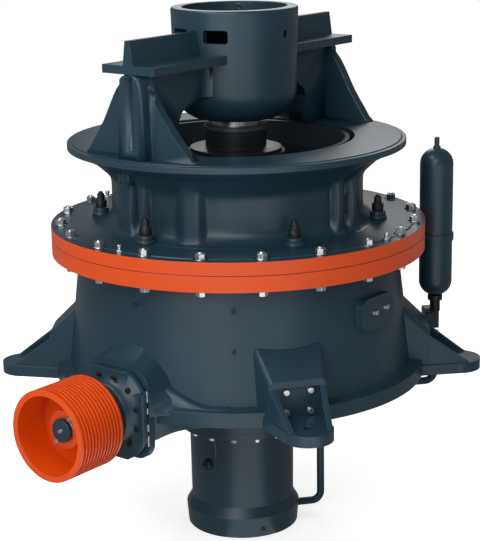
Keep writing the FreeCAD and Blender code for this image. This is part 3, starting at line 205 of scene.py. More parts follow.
def painted(name, colour, roughness, grain, edge=1.3, metal=0.0):
    """A paint or bare metal: clouded colour, edges painted lighter (rubbed wear and a painted
    highlight), uneven sheen and a fine grain.
    """
    material = bpy.data.materials.new(name)
    material.use_nodes = True
    nodes = material.node_tree.nodes
    links = material.node_tree.links
    shader = nodes["Principled BSDF"]
    shader.inputs["Metallic"].default_value = metal
    shader.inputs["Specular IOR Level"].default_value = 0.5
    place = nodes.new("ShaderNodeTexCoord")
    cloud = nodes.new("ShaderNodeTexNoise")
    cloud.inputs["Scale"].default_value = 2.2
    cloud.inputs["Detail"].default_value = 6
    tone = nodes.new("ShaderNodeValToRGB")
    tone.color_ramp.elements[0].position = 0.3
    tone.color_ramp.elements[0].color = (*[value * 0.88 for value in colour], 1)
    tone.color_ramp.elements[1].position = 0.7
    tone.color_ramp.elements[1].color = (*[value * 1.12 for value in colour], 1)
    links.new(place.outputs["Object"], cloud.inputs["Vector"])
    links.new(cloud.outputs["Fac"], tone.inputs["Fac"])
    corner = nodes.new("ShaderNodeBevel")
    corner.inputs["Radius"].default_value = 0.006
    corner.samples = 4
    flat = nodes.new("ShaderNodeNewGeometry")
    turn = nodes.new("ShaderNodeVectorMath")
    turn.operation = "DOT_PRODUCT"
    links.new(corner.outputs["Normal"], turn.inputs[0])
    links.new(flat.outputs["Normal"], turn.inputs[1])
    # Lighter edges: partly rubbed paint, partly a painted highlight where the light catches the edges.
    edge_rub_and_highlight_mask = nodes.new("ShaderNodeMapRange")
    edge_rub_and_highlight_mask.inputs["From Min"].default_value = 0.998
    edge_rub_and_highlight_mask.inputs["From Max"].default_value = 0.90
    links.new(turn.outputs["Value"], edge_rub_and_highlight_mask.inputs["Value"])
    # The edge colour is the paint lifted by the edge factor, standing for rubbed paint and a painted
    # highlight.
    worn_and_highlit_edge_mix = nodes.new("ShaderNodeMix")
    worn_and_highlit_edge_mix.data_type = "RGBA"
    worn_and_highlit_edge_mix.inputs[7].default_value = (*[min(1, value * edge + 0.01) for value in colour], 1)
    links.new(edge_rub_and_highlight_mask.outputs["Result"], worn_and_highlit_edge_mix.inputs[0])
    links.new(tone.outputs["Color"], worn_and_highlit_edge_mix.inputs[6])
    links.new(worn_and_highlit_edge_mix.outputs[2], shader.inputs["Base Color"])
    patch = nodes.new("ShaderNodeTexNoise")
    patch.inputs["Scale"].default_value = 9
    patch.inputs["Detail"].default_value = 4
    spread = nodes.new("ShaderNodeMapRange")
    spread.inputs["To Min"].default_value = roughness - 0.06
    spread.inputs["To Max"].default_value = roughness + 0.06
    links.new(place.outputs["Object"], patch.inputs["Vector"])
    links.new(patch.outputs["Fac"], spread.inputs["Value"])
    links.new(spread.outputs["Result"], shader.inputs["Roughness"])
    skin = nodes.new("ShaderNodeTexNoise")
    skin.inputs["Scale"].default_value = 70
    skin.inputs["Detail"].default_value = 5
    relief = nodes.new("ShaderNodeBump")
    relief.inputs["Strength"].default_value = grain
    relief.inputs["Distance"].default_value = 0.002
    links.new(place.outputs["Object"], skin.inputs["Vector"])
    links.new(skin.outputs["Fac"], relief.inputs["Height"])
    links.new(corner.outputs["Normal"], relief.inputs["Normal"])
    links.new(relief.outputs["Normal"], shader.inputs["Normal"])
    return material


finishes = {
    "shell_paint": painted("shell_paint", PAINT_BLUE, 0.36, 0.06),
    "flange_paint": painted("flange_paint", FLANGE_ORANGE, 0.22, 0.03, 1.1),
    "bright_steel": painted("bright_steel", (0.62, 0.64, 0.66), 0.26, 0.03, 1.1, 0.95),
    "dark_steel": painted("dark_steel", (0.008, 0.010, 0.012), 0.42, 0.08),
    "manganese": painted("manganese", (0.010, 0.020, 0.027), 0.55, 0.2, 1.2),
    "bronze": painted("bronze", (0.45, 0.27, 0.10), 0.35, 0.05, 1.2, 1.0),
}
for entry in frame["record"]["subparts"]:
    node = frame["nodes"][entry["node"]]
    node.data.materials.clear()
    node.data.materials.append(finishes[entry["material_slot"]])

# Dark steel: the collar under the spider is ground steel, coloured a dark blue-grey. The gas
# vessel's neck is blacked steel.
dark_collar_steel = painted("dark_collar_steel", (0.060, 0.080, 0.095), 0.38, 0.05, 1.4, 0.5)
frame["nodes"]["shaft_sleeve"].data.materials[0] = dark_collar_steel
frame["nodes"]["accumulator_neck"].data.materials[0] = finishes["dark_steel"]

# Flange rims: only the outer faces of the two bolted flanges are sprayed orange. Their flat
# faces keep the body colour, and the chamfered joint between them stays dark.
RING_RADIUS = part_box("upper_flange")[1][0]
RIM_DEPTH = 0.0015
rim_paint = finishes["shell_paint"].copy()
rim_paint.name = "flange_rim_paint"
rim_nodes = rim_paint.node_tree.nodes
rim_links = rim_paint.node_tree.links
rim_place = rim_nodes.new("ShaderNodeTexCoord")
rim_split = rim_nodes.new("ShaderNodeSeparateXYZ")
rim_flat = rim_nodes.new("ShaderNodeCombineXYZ")
rim_reach = rim_nodes.new("ShaderNodeVectorMath")
rim_reach.operation = "LENGTH"
rim_mask = rim_nodes.new("ShaderNodeMath")
rim_mask.operation = "GREATER_THAN"
rim_mask.inputs[1].default_value = RING_RADIUS - RIM_DEPTH
rim_mix = rim_nodes.new("ShaderNodeMix")
rim_mix.data_type = "RGBA"
rim_mix.inputs[7].default_value = (*FLANGE_ORANGE, 1)
rim_shader = rim_nodes["Principled BSDF"]
rim_under = rim_shader.inputs["Base Color"].links[0].from_socket
rim_links.new(rim_place.outputs["Object"], rim_split.inputs[0])
rim_links.new(rim_split.outputs["X"], rim_flat.inputs["X"])
rim_links.new(rim_split.outputs["Y"], rim_flat.inputs["Y"])
rim_links.new(rim_flat.outputs[0], rim_reach.inputs[0])
rim_links.new(rim_reach.outputs["Value"], rim_mask.inputs[0])
rim_links.new(rim_mask.outputs[0], rim_mix.inputs[0])
rim_links.new(rim_under, rim_mix.inputs[6])
rim_links.new(rim_mix.outputs[2], rim_shader.inputs["Base Color"])
for name in ("upper_flange", "lower_flange"):
    frame["nodes"][name].data.materials[0] = rim_paint

# Flange studs: twenty plated M36 studs clamp the two shells together. Each has a tall hexagon
# nut on a hardened washer above, a second one under the lower flange, and a chamfered end.
STUD_CIRCLE = RING_RADIUS - 0.060
STUD_COUNT = 20
STUD_TOP = 0.975
STUD_UNDER = 0.801
STUD_ACROSS = 0.055
NUT_CORNER_TURN = 12


def trimmed(piece, tool, operation):
    """Cuts a piece with a tool, or keeps what the two share, and removes the tool."""
    bpy.context.view_layer.objects.active = piece
    trim = piece.modifiers.new("trim", "BOOLEAN")
    trim.operation = operation
    trim.solver = "EXACT"
    trim.object = tool
    bpy.ops.object.modifier_apply(modifier=trim.name)
    bpy.data.objects.remove(tool)


def smoothed(piece, angle):
    """Shades a piece smooth, but for edges that turn by more than the angle."""
    bpy.ops.object.select_all(action="DESELECT")
    piece.select_set(True)
    bpy.context.view_layer.objects.active = piece
    bpy.ops.object.shade_smooth_by_angle(angle=radians(angle))


def hexagon(name, across, height, low=0.0):
    """A hexagon nut or head that stands on Z = low, its corners turned off at 30 degrees."""
    bpy.ops.object.select_all(action="DESELECT")
    bpy.ops.mesh.primitive_cylinder_add(
        vertices=6, radius=across / sqrt(3), depth=height, location=(0, 0, low + height / 2)
    )
    nut = bpy.context.object
    nut.name = name
    bpy.ops.object.transform_apply(location=True)
    top = across * 0.47
    foot = top + height * sqrt(3)
    bpy.ops.mesh.primitive_cone_add(
        vertices=36, radius1=foot, radius2=top, depth=height, location=(0, 0, low + height / 2)
    )
    turning = bpy.context.object
    bpy.ops.object.transform_apply(location=True)
    trimmed(nut, turning, "INTERSECT")
    return nut


def disc(name, radius, low, high, edge=0.001, vertices=32):
    """A round washer, cap or pin between two heights, with a small rounded edge."""
    bpy.ops.object.select_all(action="DESELECT")
    bpy.ops.mesh.primitive_cylinder_add(
        vertices=vertices, radius=radius, depth=high - low, location=(0, 0, (low + high) / 2)
    )
    piece = bpy.context.object
    piece.name = name
    bpy.ops.object.transform_apply(location=True)
    bevel = piece.modifiers.new("edge", "BEVEL")
    bevel.width = edge
    bevel.segments = 2
    bevel.limit_method = "ANGLE"
    bpy.ops.object.modifier_apply(modifier=bevel.name)
    return piece


def joined(name, *parts):
    """One piece made of several modelled parts, with smooth rounds and sharp corners."""
    bpy.ops.object.select_all(action="DESELECT")
    for part in parts:
        part.select_set(True)
    bpy.context.view_layer.objects.active = parts[0]
    bpy.ops.object.join()
    piece = bpy.context.object
    piece.name = name
    smoothed(piece, 28)
    return piece


def finished(piece, slot, body="frame"):
    """Gives a piece its finish, its body and its material slot."""
    piece.data.materials.clear()
    piece.data.materials.append(finishes[slot])
    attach(piece, body)
    return piece


def facing(spot, axis, turn=0.0):
    """The place of a piece whose own Z points along the axis."""
    lean = Vector(axis).to_track_quat("Z", "Y").to_matrix().to_4x4()
    return Matrix.Translation(spot) @ lean @ Matrix.Rotation(turn, 4, "Z")


def copied(pattern, name):
    """A copy of a piece with a mesh of its own."""
    piece = pattern.copy()
    piece.data = pattern.data.copy()
    piece.name = name
    scene.collection.objects.link(piece)
    return piece


def copies(pattern, name, places, slot, body="frame"):
    """Copies a modelled piece to each place and removes the pattern."""
    for index, place in enumerate(places):
        piece = copied(pattern, f"{name}_{index:02d}")
        piece.data.transform(place)
        finished(piece, slot, body)
    bpy.data.objects.remove(pattern)


def round_axis(radius, azimuth, height):
    """A point at a distance from the crusher's axis."""
    turn = radians(azimuth)
    return Vector((radius * sin(turn), -radius * cos(turn), height))


stud_nut = joined(
    "stud_nut",
    disc("stud_washer", 0.033, 0, 0.005),
    hexagon("stud_hexagon", STUD_ACROSS, 0.034, 0.005),
    disc("stud_end", 0.0175, 0.03, 0.046, 0.003, 24),
)
stud_azimuths = [360 * (index + 0.5) / STUD_COUNT for index in range(STUD_COUNT)]
copies(
    stud_nut,
    "flange_nut_upper",
    [
        facing(round_axis(STUD_CIRCLE, azimuth, STUD_TOP), (0, 0, 1), radians(azimuth))
        for azimuth in stud_azimuths
    ],
    "bright_steel",
)
stud_head = joined(
    "stud_head",
    disc("head_washer", 0.033, 0, 0.005),
    hexagon("head_hexagon", STUD_ACROSS, 0.030, 0.005),
)
copies(
    stud_head,
    "flange_nut_lower",
    [
        facing(
            round_axis(STUD_CIRCLE, azimuth, STUD_UNDER), (0, 0, -1), radians(azimuth + NUT_CORNER_TURN)
        )
        for azimuth in stud_azimuths
    ],
    "bright_steel",
)

# Jacking screws: four hexagon screws in the upper flange, each locked by a thin nut. They part the
# shells when the liner is changed.
jack = joined(
    "jack",
    hexagon("jack_nut", 0.041, 0.014, 0.0),
    disc("jack_shank", 0.012, 0.01, 0.030, 0.001, 24),
    hexagon("jack_head", 0.027, 0.014, 0.030),
)
copies(
    jack,
    "jacking_screw",
    [facing(round_axis(STUD_CIRCLE, azimuth, STUD_TOP), (0, 0, 1)) for azimuth in (0, 90, 180, 270)],
    "bright_steel",
)

# Foot bolts: four hexagon screws hold the lining behind the recess wall of each foot. Their
# heads stand on plain washers.
FOOT_AZIMUTH = 53.8
FOOT_WALL = 1.150
FOOT_BOLT_SIDES = (-0.060, 0.084)
FOOT_BOLT_HEIGHTS = (0.092, 0.213)
BOLT_CORNER_TURN = radians(11)


def on_wall(radius, azimuth, height, aside=0.0, turn=0.0):
    """The place of a piece on an upright wall, at a distance from the crusher's axis."""
    outward = round_axis(1, azimuth, 0)
    across = Vector((-outward.y, outward.x, 0))
    spot = outward * radius + across * aside + Vector((0, 0, height))
    return facing(spot, outward, turn)


foot_bolt = joined(
    "foot_bolt",
    disc("foot_washer", 0.021, 0, 0.004),
    hexagon("foot_hexagon", 0.036, 0.019, 0.004),
)
foot_places = []
for azimuth in (FOOT_AZIMUTH, 180 - FOOT_AZIMUTH, 180 + FOOT_AZIMUTH, -FOOT_AZIMUTH):
    for side in FOOT_BOLT_SIDES:
        for height in FOOT_BOLT_HEIGHTS:
            foot_places.append(on_wall(FOOT_WALL, azimuth, height, side, BOLT_CORNER_TURN))
copies(foot_bolt, "foot_bolt", foot_places, "bright_steel")

# Cover disc: a blank flange under the feed rim on the drive side closes the core hole of the
# casting. Four small screws hold it on a short boss.
COVER_AZIMUTH = -9
COVER_BOSS = 0.084
COVER_FACE = 0.094
COVER_SCREW_CIRCLE = 0.035
cover_place = facing(round_axis(0.800, COVER_AZIMUTH, 1.349), round_axis(1, COVER_AZIMUTH, 0))
cover = joined(
    "cover",
    disc("cover_boss", 0.041, 0, COVER_BOSS, 0.002, 48),
    disc("cover_plate", 0.049, COVER_BOSS, COVER_FACE, 0.003, 48),
)
cover.data.transform(cover_place)
finished(cover, "shell_paint").name = "cover_disc"
cover_screw_places = []
for turn in (pi / 4, 3 * pi / 4, 5 * pi / 4, 7 * pi / 4):
    screw_spot = (COVER_SCREW_CIRCLE * cos(turn), COVER_SCREW_CIRCLE * sin(turn), COVER_FACE)
    cover_screw_places.append(cover_place @ Matrix.Translation(screw_spot))
copies(hexagon("cover_screw", 0.010, 0.006), "cover_screw", cover_screw_places, "dark_steel")

# Side pad screws: two hexagon screws hold the blank plate on the drum's cast pad, whose face is
# turned a degree away from the drive side.
PAD_FACE = 1.047
PAD_OUTWARD = (1, 0.017, 0)
pad_screw = joined(
    "pad_screw",
    disc("pad_washer", 0.018, 0, 0.003),
    hexagon("pad_hexagon", 0.030, 0.016, 0.003),
)
copies(
    pad_screw,
    "pad_screw",
    [
        facing(Vector((PAD_FACE, -0.054, 0.545)), PAD_OUTWARD),
        facing(Vector((PAD_FACE, 0.060, 0.555)), PAD_OUTWARD),
    ],
    "bright_steel",
)

# Cylinder flange screws: sixteen plated hexagon screws hang the hydraulic cylinder under the
# gear housing.
CYLINDER_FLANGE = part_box("hydraulic_cylinder")[1][2] - 0.040
CYLINDER_SCREW_CIRCLE = 0.364
CYLINDER_SCREW_COUNT = 16
CYLINDER_SCREW_START = 8
cylinder_screw = joined(
    "cylinder_screw",
    disc("cylinder_washer", 0.023, 0, 0.004),
    hexagon("cylinder_hexagon", 0.036, 0.018, 0.004),
)
cylinder_screw_places = []
for index in range(CYLINDER_SCREW_COUNT):
    azimuth = 360 / CYLINDER_SCREW_COUNT * index
    spot = round_axis(CYLINDER_SCREW_CIRCLE, azimuth + CYLINDER_SCREW_START, CYLINDER_FLANGE)
    cylinder_screw_places.append(facing(spot, (0, 0, -1), radians(azimuth)))
copies(cylinder_screw, "cylinder_screw", cylinder_screw_places, "bright_steel")

# Bearing cartridge screws: twelve screws round the cap pull the flange to the housing, and bright
# shims show in the open joint behind it.
SHAFT_HEIGHT = 0.061
CARTRIDGE_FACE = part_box("bearing_cartridge")[0][1] + 0.065
CARTRIDGE_SCREW_CIRCLE = 0.231


def on_drive_face(radius, turn, face):
    """The place of a screw that faces the drive side, at a distance from the shaft's line."""
    spot = Vector((radius * sin(turn), face, SHAFT_HEIGHT + radius * cos(turn)))
    return facing(spot, (0, -1, 0))


cartridge_screw = joined(
    "cartridge_screw",
    disc("cartridge_washer", 0.017, 0, 0.003),
    hexagon("cartridge_hexagon", 0.027, 0.015, 0.003),
)
copies(
    cartridge_screw,
    "cartridge_screw",
    [
        on_drive_face(CARTRIDGE_SCREW_CIRCLE, radians(turn), CARTRIDGE_FACE)
        for turn in range(15, 375, 30)
    ],
    "dark_steel",
)
SHIM_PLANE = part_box("bearing_cartridge")[1][1] + 0.0075
SHIM_SIDE = 0.2585
SHIM_THICK = 0.011
SHIM_DEEP = 0.0145
SHIM_SPANS = ((-0.108, -0.043), (-0.018, 0.025), (0.087, 0.124), (0.155, 0.223))
for side, hand in ((1, "right"), (-1, "left")):
    for index, (low, high) in enumerate(SHIM_SPANS):
        bpy.ops.object.select_all(action="DESELECT")
        bpy.ops.mesh.primitive_cube_add(size=1)
        shim = bpy.context.object
        shim.data.transform(
            Matrix.Translation((side * SHIM_SIDE, SHIM_PLANE, (low + high) / 2))
            @ Matrix.Diagonal((SHIM_THICK, SHIM_DEEP, high - low, 1))
        )
        bevel = shim.modifiers.new("edge", "BEVEL")
        bevel.width = 0.0015
        bevel.segments = 2
        bpy.ops.object.modifier_apply(modifier=bevel.name)
        finished(shim, "bright_steel").name = f"joint_shim_{hand}_{index}"

# Sheave screws: two hexagon screws pull the sheave's taper hub onto the shaft, and one in the
# middle holds the end cap. They turn with the drive.
SHEAVE_HUB_FACE = -1.596
HUB_SCREW_CIRCLE = 0.092
END_CAP_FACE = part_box("shaft_end_cap")[0][1]
hub_screw = joined(
    "hub_screw",
    disc("hub_washer", 0.019, 0, 0.003),
    hexagon("hub_hexagon", 0.030, 0.018, 0.003),
)
copies(
    hub_screw,
    "hub_screw",
    [on_drive_face(HUB_SCREW_CIRCLE, radians(turn), SHEAVE_HUB_FACE) for turn in (35, 215)],
    "bright_steel",
    "drive",
)
cap_screw = joined(
    "cap_screw",
    disc("cap_washer", 0.014, 0, 0.002),
    hexagon("cap_hexagon", 0.019, 0.011, 0.002),
)
copies(cap_screw, "cap_screw", [on_drive_face(0, 0, END_CAP_FACE)], "bright_steel", "drive")

# Neck casting: the top shell's neck is one steel casting with a wide foot fillet, four blended
# buttresses and four pairs of round ribs that run out into the feed flange.
NECK_RADIUS = 0.767
NECK_FOOT = 0.979
NECK_HEAD = 1.440
FOOT_FILLET = 0.095
NECK_WALL = 0.004
NECK_STEPS = 720
NECK_ROWS = 34
FLARE = (
    (1.225, 0.0),
    (1.250, 0.003),
    (1.275, 0.011),
    (1.300, 0.028),
    (1.320, 0.050),
    (1.350, 0.083),
    (1.382, 0.118),
    (1.410, 0.174),
    (1.441, 0.222),
)
BUTTRESSES = ((-19, -1), (19, 1), (161, -1), (199, 1))
BUTTRESS_CREST = 0.026
BUTTRESS_OUTER_FALL = 0.060
BUTTRESS_INNER_FALL = 0.099
BUTTRESS_REACH = 0.049
RIBS = (-13, -5, 85, 95, 167, 175, 265, 275)
RIB_CREST = 0.013
RIB_FALL = 0.024
RIB_REACH = 0.054
FOOT_SPREAD_FROM = 1.075
FOOT_SPREAD_RUN = 0.09
HEAD_SPREAD_FROM = 1.20
HEAD_SPREAD_RUN = 0.20
CREST_SPREAD = 0.012
BUTTRESS_FALL_SPREAD = 0.02
RIB_FALL_SPREAD = 0.046


def neck_flow(height):
    """How far the plain neck stands out at a height, over its foot fillet and its flare."""
    rise = (height - NECK_FOOT) / FOOT_FILLET
    if rise < 1:
        return FOOT_FILLET * (1 - sqrt(1 - (1 - rise) ** 2))
    for (low, near), (high, far) in zip(FLARE, FLARE[1:]):
        if low <= height <= high:
            return near + (far - near) * (height - low) / (high - low)
    return 0.0


def cast_rib(offset, crest, fall, reach):
    """A rib's height at a distance from its middle line: a flat crest and flanks that run out."""
    step = (abs(offset) - crest) / fall
    if step <= 0:
        return reach
    if step >= 1:
        return 0.0
    return reach * (1 - step * step * (3 - 2 * step))


def beside(azimuth, middle):
    """The distance along the neck from a rib's middle line."""
    return radians((azimuth - middle + 180) % 360 - 180) * NECK_RADIUS


def neck_reach(azimuth, height):
    """How far the neck stands out at a spot. Its ribs and buttresses widen at both ends."""
    foot = min(1.0, (FOOT_SPREAD_FROM - height) / FOOT_SPREAD_RUN)
    head = min(1.0, (height - HEAD_SPREAD_FROM) / HEAD_SPREAD_RUN)
    ends = max(0.0, foot, head) ** 2
    widening = CREST_SPREAD * ends
    highest = 0.0
    for middle, outer in BUTTRESSES:
        offset = beside(azimuth, middle) * outer
        fall = BUTTRESS_OUTER_FALL if offset > 0 else BUTTRESS_INNER_FALL
        fall += BUTTRESS_FALL_SPREAD * ends
        highest = max(highest, cast_rib(offset, BUTTRESS_CREST + widening, fall, BUTTRESS_REACH))
    for middle in RIBS:
        offset = beside(azimuth, middle)
        fall = RIB_FALL + RIB_FALL_SPREAD * ends
        highest = max(highest, cast_rib(offset, RIB_CREST + widening, fall, RIB_REACH))
    return (neck_flow(height) ** 3 + highest**3) ** (1 / 3)


def faces_outward():
    """Turns the faces of the active piece outward."""
    bpy.ops.object.mode_set(mode="EDIT")
    bpy.ops.mesh.select_all(action="SELECT")
    bpy.ops.mesh.normals_make_consistent(inside=False)
    bpy.ops.object.mode_set(mode="OBJECT")


def thickened(sheet, thickness, offset):
    """Makes a wall of a bent sheet, and shades it smooth."""
    wall = sheet.modifiers.new("wall", "SOLIDIFY")
    wall.thickness = thickness
    wall.offset = offset
    bpy.ops.object.modifier_apply(modifier=wall.name)
    faces_outward()
    smoothed(sheet, 40)


bpy.ops.object.select_all(action="DESELECT")
bpy.ops.mesh.primitive_grid_add(x_subdivisions=NECK_STEPS, y_subdivisions=NECK_ROWS, size=2)
neck = bpy.context.object
for vertex in neck.data.vertices:
    azimuth = 180 * vertex.co.x
    climb = (1 - cos(pi * (vertex.co.y + 1) / 2)) / 2
    height = NECK_FOOT + (NECK_HEAD - NECK_FOOT) * climb
    vertex.co = round_axis(NECK_RADIUS + neck_reach(azimuth, height), azimuth, height)
bpy.ops.object.mode_set(mode="EDIT")
bpy.ops.mesh.select_all(action="SELECT")
bpy.ops.mesh.remove_doubles(threshold=0.0001)
bpy.ops.object.mode_set(mode="OBJECT")
faces_outward()
thickened(neck, NECK_WALL, -1)
finished(neck, "shell_paint").name = "neck_casting"

# Guide pins: six cast bosses at the neck's foot, each closed by a black steel collar and a
# domed six-sided knob. They line the top shell up when it is lowered.
PIN_CIRCLE = 0.862
PIN_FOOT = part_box("guide_pins")[0][2]
pin_boss = joined(
    "pin_boss",
    disc("boss_pad", 0.056, -0.002, 0.020, 0.006, 40),
    disc("boss_body", 0.049, 0.010, 0.050, 0.005, 40),
)
pin_knob = joined(
    "pin_knob",
    disc("knob_collar", 0.036, 0.045, 0.096, 0.003, 36),
    disc("knob_step", 0.027, 0.090, 0.102, 0.002, 36),
    hexagon("knob_hexagon", 0.040, 0.038, 0.098),
    disc("knob_dome", 0.015, 0.130, 0.150, 0.009, 24),
)
for pattern, name, slot in (
    (pin_boss, "pin_boss", "shell_paint"),
    (pin_knob, "pin_knob", "dark_steel"),
):
    for azimuth in range(0, 360, 60):
        piece = copied(pattern, f"{name}_{azimuth:03d}")
        piece.data.transform(Matrix.Translation(round_axis(PIN_CIRCLE, azimuth, PIN_FOOT)))
        finished(piece, slot)
        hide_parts("guide_pins")
    bpy.data.objects.remove(pattern)

# Spider arms: each leg is one casting. On its spread side a bell-shaped plate rises along the
# pillar to a rounded shoulder under the guard, and the pillar's top corners are rounded off.
ARM_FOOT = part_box("spider_arm_drive")[0][2]
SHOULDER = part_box("spider_arm_drive")[1][2]
PLATE_FACES = (0.838, 0.903)
PILLAR_FACES = (0.870, 0.990)
BELL = (
    (0.395, 0.004),
    (0.372, 0.040),
    (0.338, 0.090),
    (0.302, 0.140),
    (0.268, 0.190),
    (0.240, 0.240),
    (0.213, 0.290),
    (0.187, 0.338),
    (0.158, 0.384),
    (0.121, 0.427),
    (0.080, 0.459),
    (0.040, 0.475),
)
PILLAR_ROUND = (
    (0.086, -0.100),
    (0.083, -0.064),
    (0.074, -0.036),
    (0.056, -0.015),
    (0.030, -0.003),
    (0.030, 0.030),
    (0.150, 0.030),
    (0.150, -0.100),
)


def slab(name, outline, near, far):
    """A plate with an outline of (sideways, height), between two distances from the axis."""
    bpy.ops.object.select_all(action="DESELECT")
    bpy.ops.mesh.primitive_circle_add(vertices=len(outline), fill_type="NGON")
    plate = bpy.context.object
    plate.name = name
    for vertex, (across, height) in zip(plate.data.vertices, outline):
        vertex.co = (across, -near, height)
    bpy.ops.object.mode_set(mode="EDIT")
    bpy.ops.mesh.select_all(action="SELECT")
    bpy.ops.mesh.extrude_region_move(TRANSFORM_OT_translate={"value": (0, near - far, 0)})
    bpy.ops.object.mode_set(mode="OBJECT")
    faces_outward()
    return plate


bell_line = [(-across, ARM_FOOT + height) for across, height in BELL]
bell_line += [(0.020, SHOULDER - 0.008), (0.060, SHOULDER - 0.060), (0.060, ARM_FOOT)]
for end, turn in (("drive", 0), ("rear", pi)):
    bell = slab(f"bell_plate_{end}", bell_line, *PLATE_FACES)
    bevel = bell.modifiers.new("edge", "BEVEL")
    bevel.width = 0.010
    bevel.segments = 3
    bevel.limit_method = "ANGLE"
    bevel.angle_limit = radians(50)
    bpy.ops.object.modifier_apply(modifier=bevel.name)
    bell.data.transform(Matrix.Rotation(turn, 4, "Z"))
    smoothed(bell, 35)
    finished(bell, "shell_paint")
    leg = copied(frame["nodes"]["spider_arm_" + end], f"arm_casting_{end}")
    for side in (1, -1):
        corner_line = [(side * across, SHOULDER + height) for across, height in PILLAR_ROUND]
        corner = slab("shoulder_cut", corner_line, *PILLAR_FACES)
        corner.data.transform(Matrix.Rotation(turn, 4, "Z"))
        trimmed(leg, corner, "DIFFERENCE")
    smoothed(leg, 35)
    finished(leg, "shell_paint")
    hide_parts("spider_arm_" + end)

# Cup cover: a pressed dust cover lies a little below the cup's rim, with a cast lifting eye on
# it. It keeps stone dust out of the top bearing.
COVER_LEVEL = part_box("spider_hub")[1][2] - 0.058
COVER_RADIUS = 0.319
EYE_HALF = 0.011
EYE_MIDDLE = 0.031
EYE_PLACE = (-0.077, 0.139, COVER_LEVEL + 0.004)
dust_cover = joined(
    "dust_cover",
    disc("cover_sheet", COVER_RADIUS, COVER_LEVEL - 0.012, COVER_LEVEL, 0.003, 96),
    disc("cover_lip", 0.150, COVER_LEVEL - 0.002, COVER_LEVEL + 0.006, 0.003, 64),
)
finished(dust_cover, "shell_paint")
eye_outline = [(0.033, 0.0), (0.030, 0.018)]
for degrees in range(10, 180, 20):
    turn = radians(degrees)
    eye_outline.append((0.020 * cos(turn), 0.034 + 0.018 * sin(turn)))
eye_outline += [(-0.030, 0.018), (-0.033, 0.0)]
eye = slab("lifting_eye", eye_outline, -EYE_HALF, EYE_HALF)
eye_hole = disc("eye_hole", 0.008, -0.03, 0.03, 0.0004, 24)
eye_hole.data.transform(Matrix.Translation((0, 0, EYE_MIDDLE)) @ Matrix.Rotation(pi / 2, 4, "X"))
trimmed(eye, eye_hole, "DIFFERENCE")
eye.data.transform(Matrix.Translation(EYE_PLACE) @ Matrix.Rotation(radians(38), 4, "Z"))
finished(eye, "dark_steel")

# Drive cowl: the casting round the drive shaft's housing runs out into the drum as one smooth
# cowl, with a soft crest on each side of its roof. It starts right behind the bolted joint.
COWL_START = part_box("bearing_cartridge")[1][1] + 0.0155
COWL_END = -0.80
COWL_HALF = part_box("bearing_cartridge")[1][0] + 0.002
COWL_ROOT = (
    (0, 0.530),
    (14, 0.520),
    (28, 0.410),
    (45, 0.345),
    (62, 0.365),
    (78, 0.520),
    (89, 0.720),
)
COWL_WALL = 0.008
COWL_TURN = 89
COWL_SQUARENESS = 5
COWL_SWEEP = 1.2
COWL_STEPS = 96
COWL_ROWS = 20


def cowl_reach(turn, share):
    """The cowl's reach from the shaft's line, at an angle from the top and a share of its length."""
    lean = abs(turn)
    upright = abs(cos(radians(turn))) ** COWL_SQUARENESS
    level = abs(sin(radians(turn))) ** COWL_SQUARENESS
    side = (upright + level) ** (-1 / COWL_SQUARENESS) * COWL_HALF
    root = COWL_ROOT[-1][1]
    for (low, near), (high, far) in zip(COWL_ROOT, COWL_ROOT[1:]):
        if low <= lean <= high:
            step = (lean - low) / (high - low)
            root = near + (far - near) * step * step * (3 - 2 * step)
            break
    return side + (max(root, side) - side) * share**COWL_SWEEP


bpy.ops.object.select_all(action="DESELECT")
bpy.ops.mesh.primitive_grid_add(x_subdivisions=COWL_STEPS, y_subdivisions=COWL_ROWS, size=2)
cowl = bpy.context.object
for vertex in cowl.data.vertices:
    turn = COWL_TURN * vertex.co.x
    share = (vertex.co.y + 1) / 2
    reach = cowl_reach(turn, share)
    vertex.co = (
        reach * sin(radians(turn)),
        COWL_START + (COWL_END - COWL_START) * share,
        SHAFT_HEIGHT + reach * cos(radians(turn)),
    )
thickened(cowl, COWL_WALL, 0)
finished(cowl, "shell_paint").name = "drive_cowl"

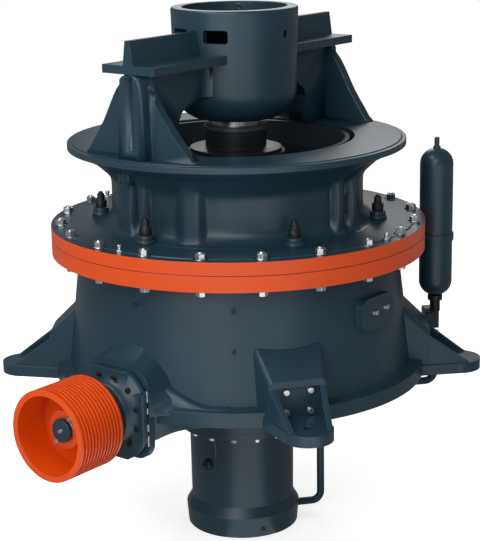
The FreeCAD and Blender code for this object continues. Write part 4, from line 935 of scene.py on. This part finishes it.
# Round cartridge: the flange of the bearing cartridge is turned down at its corners, so that it
# reads as a round cover behind the sheave.
TURNED_RADIUS = 0.296
TURNED_MIDDLE = (0, -1.4, SHAFT_HEIGHT)
cartridge = copied(frame["nodes"]["bearing_cartridge"], "cartridge_casting")
turned = disc("turned", TURNED_RADIUS, -0.5, 0.5, 0.002, 96)
turned.data.transform(Matrix.Translation(TURNED_MIDDLE) @ Matrix.Rotation(pi / 2, 4, "X"))
trimmed(cartridge, turned, "INTERSECT")
smoothed(cartridge, 35)
finished(cartridge, "shell_paint")
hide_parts("bearing_cartridge")

# Drum plugs: small screwed plugs with hexagon heads close the drum's core holes. Three stand in a
# row beside the drive side's right foot, and one over the drive cowl.
DRUM_WALL = 1.032
plug = joined(
    "plug",
    disc("plug_ring", 0.013, -0.004, 0.003, 0.001, 24),
    hexagon("plug_key", 0.012, 0.006, 0.0),
)
copies(
    plug,
    "drum_plug",
    [
        on_wall(DRUM_WALL, azimuth, height)
        for azimuth, height in ((36.2, 0.660), (36.2, 0.424), (36.2, 0.197), (2.5, 0.660))
    ],
    "dark_steel",
)

# Cylinder fittings: a bleed plug with a hexagon head stands on a short boss on the drive side of
# the cylinder, beside a cast oil gallery rib, and a small drain plug closes the foot.
CYLINDER_WALL = 0.330
CYLINDER_FOOT_WALL = 0.360
BLEED_AZIMUTH = -2
bleed = joined(
    "bleed",
    disc("bleed_boss", 0.034, -0.01, 0.022, 0.004, 40),
    disc("bleed_ring", 0.025, 0.020, 0.030, 0.002, 32),
    hexagon("bleed_key", 0.026, 0.016, 0.030),
)
bleed.data.transform(on_wall(CYLINDER_WALL, BLEED_AZIMUTH, -0.548))
finished(bleed, "dark_steel").name = "bleed_plug"
gallery = disc("gallery", 0.009, -0.50, -0.28, 0.004, 24)
gallery.data.transform(Matrix.Translation(round_axis(CYLINDER_WALL, BLEED_AZIMUTH + 10, 0)))
smoothed(gallery, 35)
finished(gallery, "shell_paint").name = "gallery_rib"
drain = joined(
    "drain",
    disc("drain_ring", 0.014, -0.004, 0.005, 0.001, 24),
    hexagon("drain_key", 0.014, 0.007, 0.004),
)
drain.data.transform(on_wall(CYLINDER_FOOT_WALL, 59, -0.962))
finished(drain, "dark_steel").name = "drain_plug"
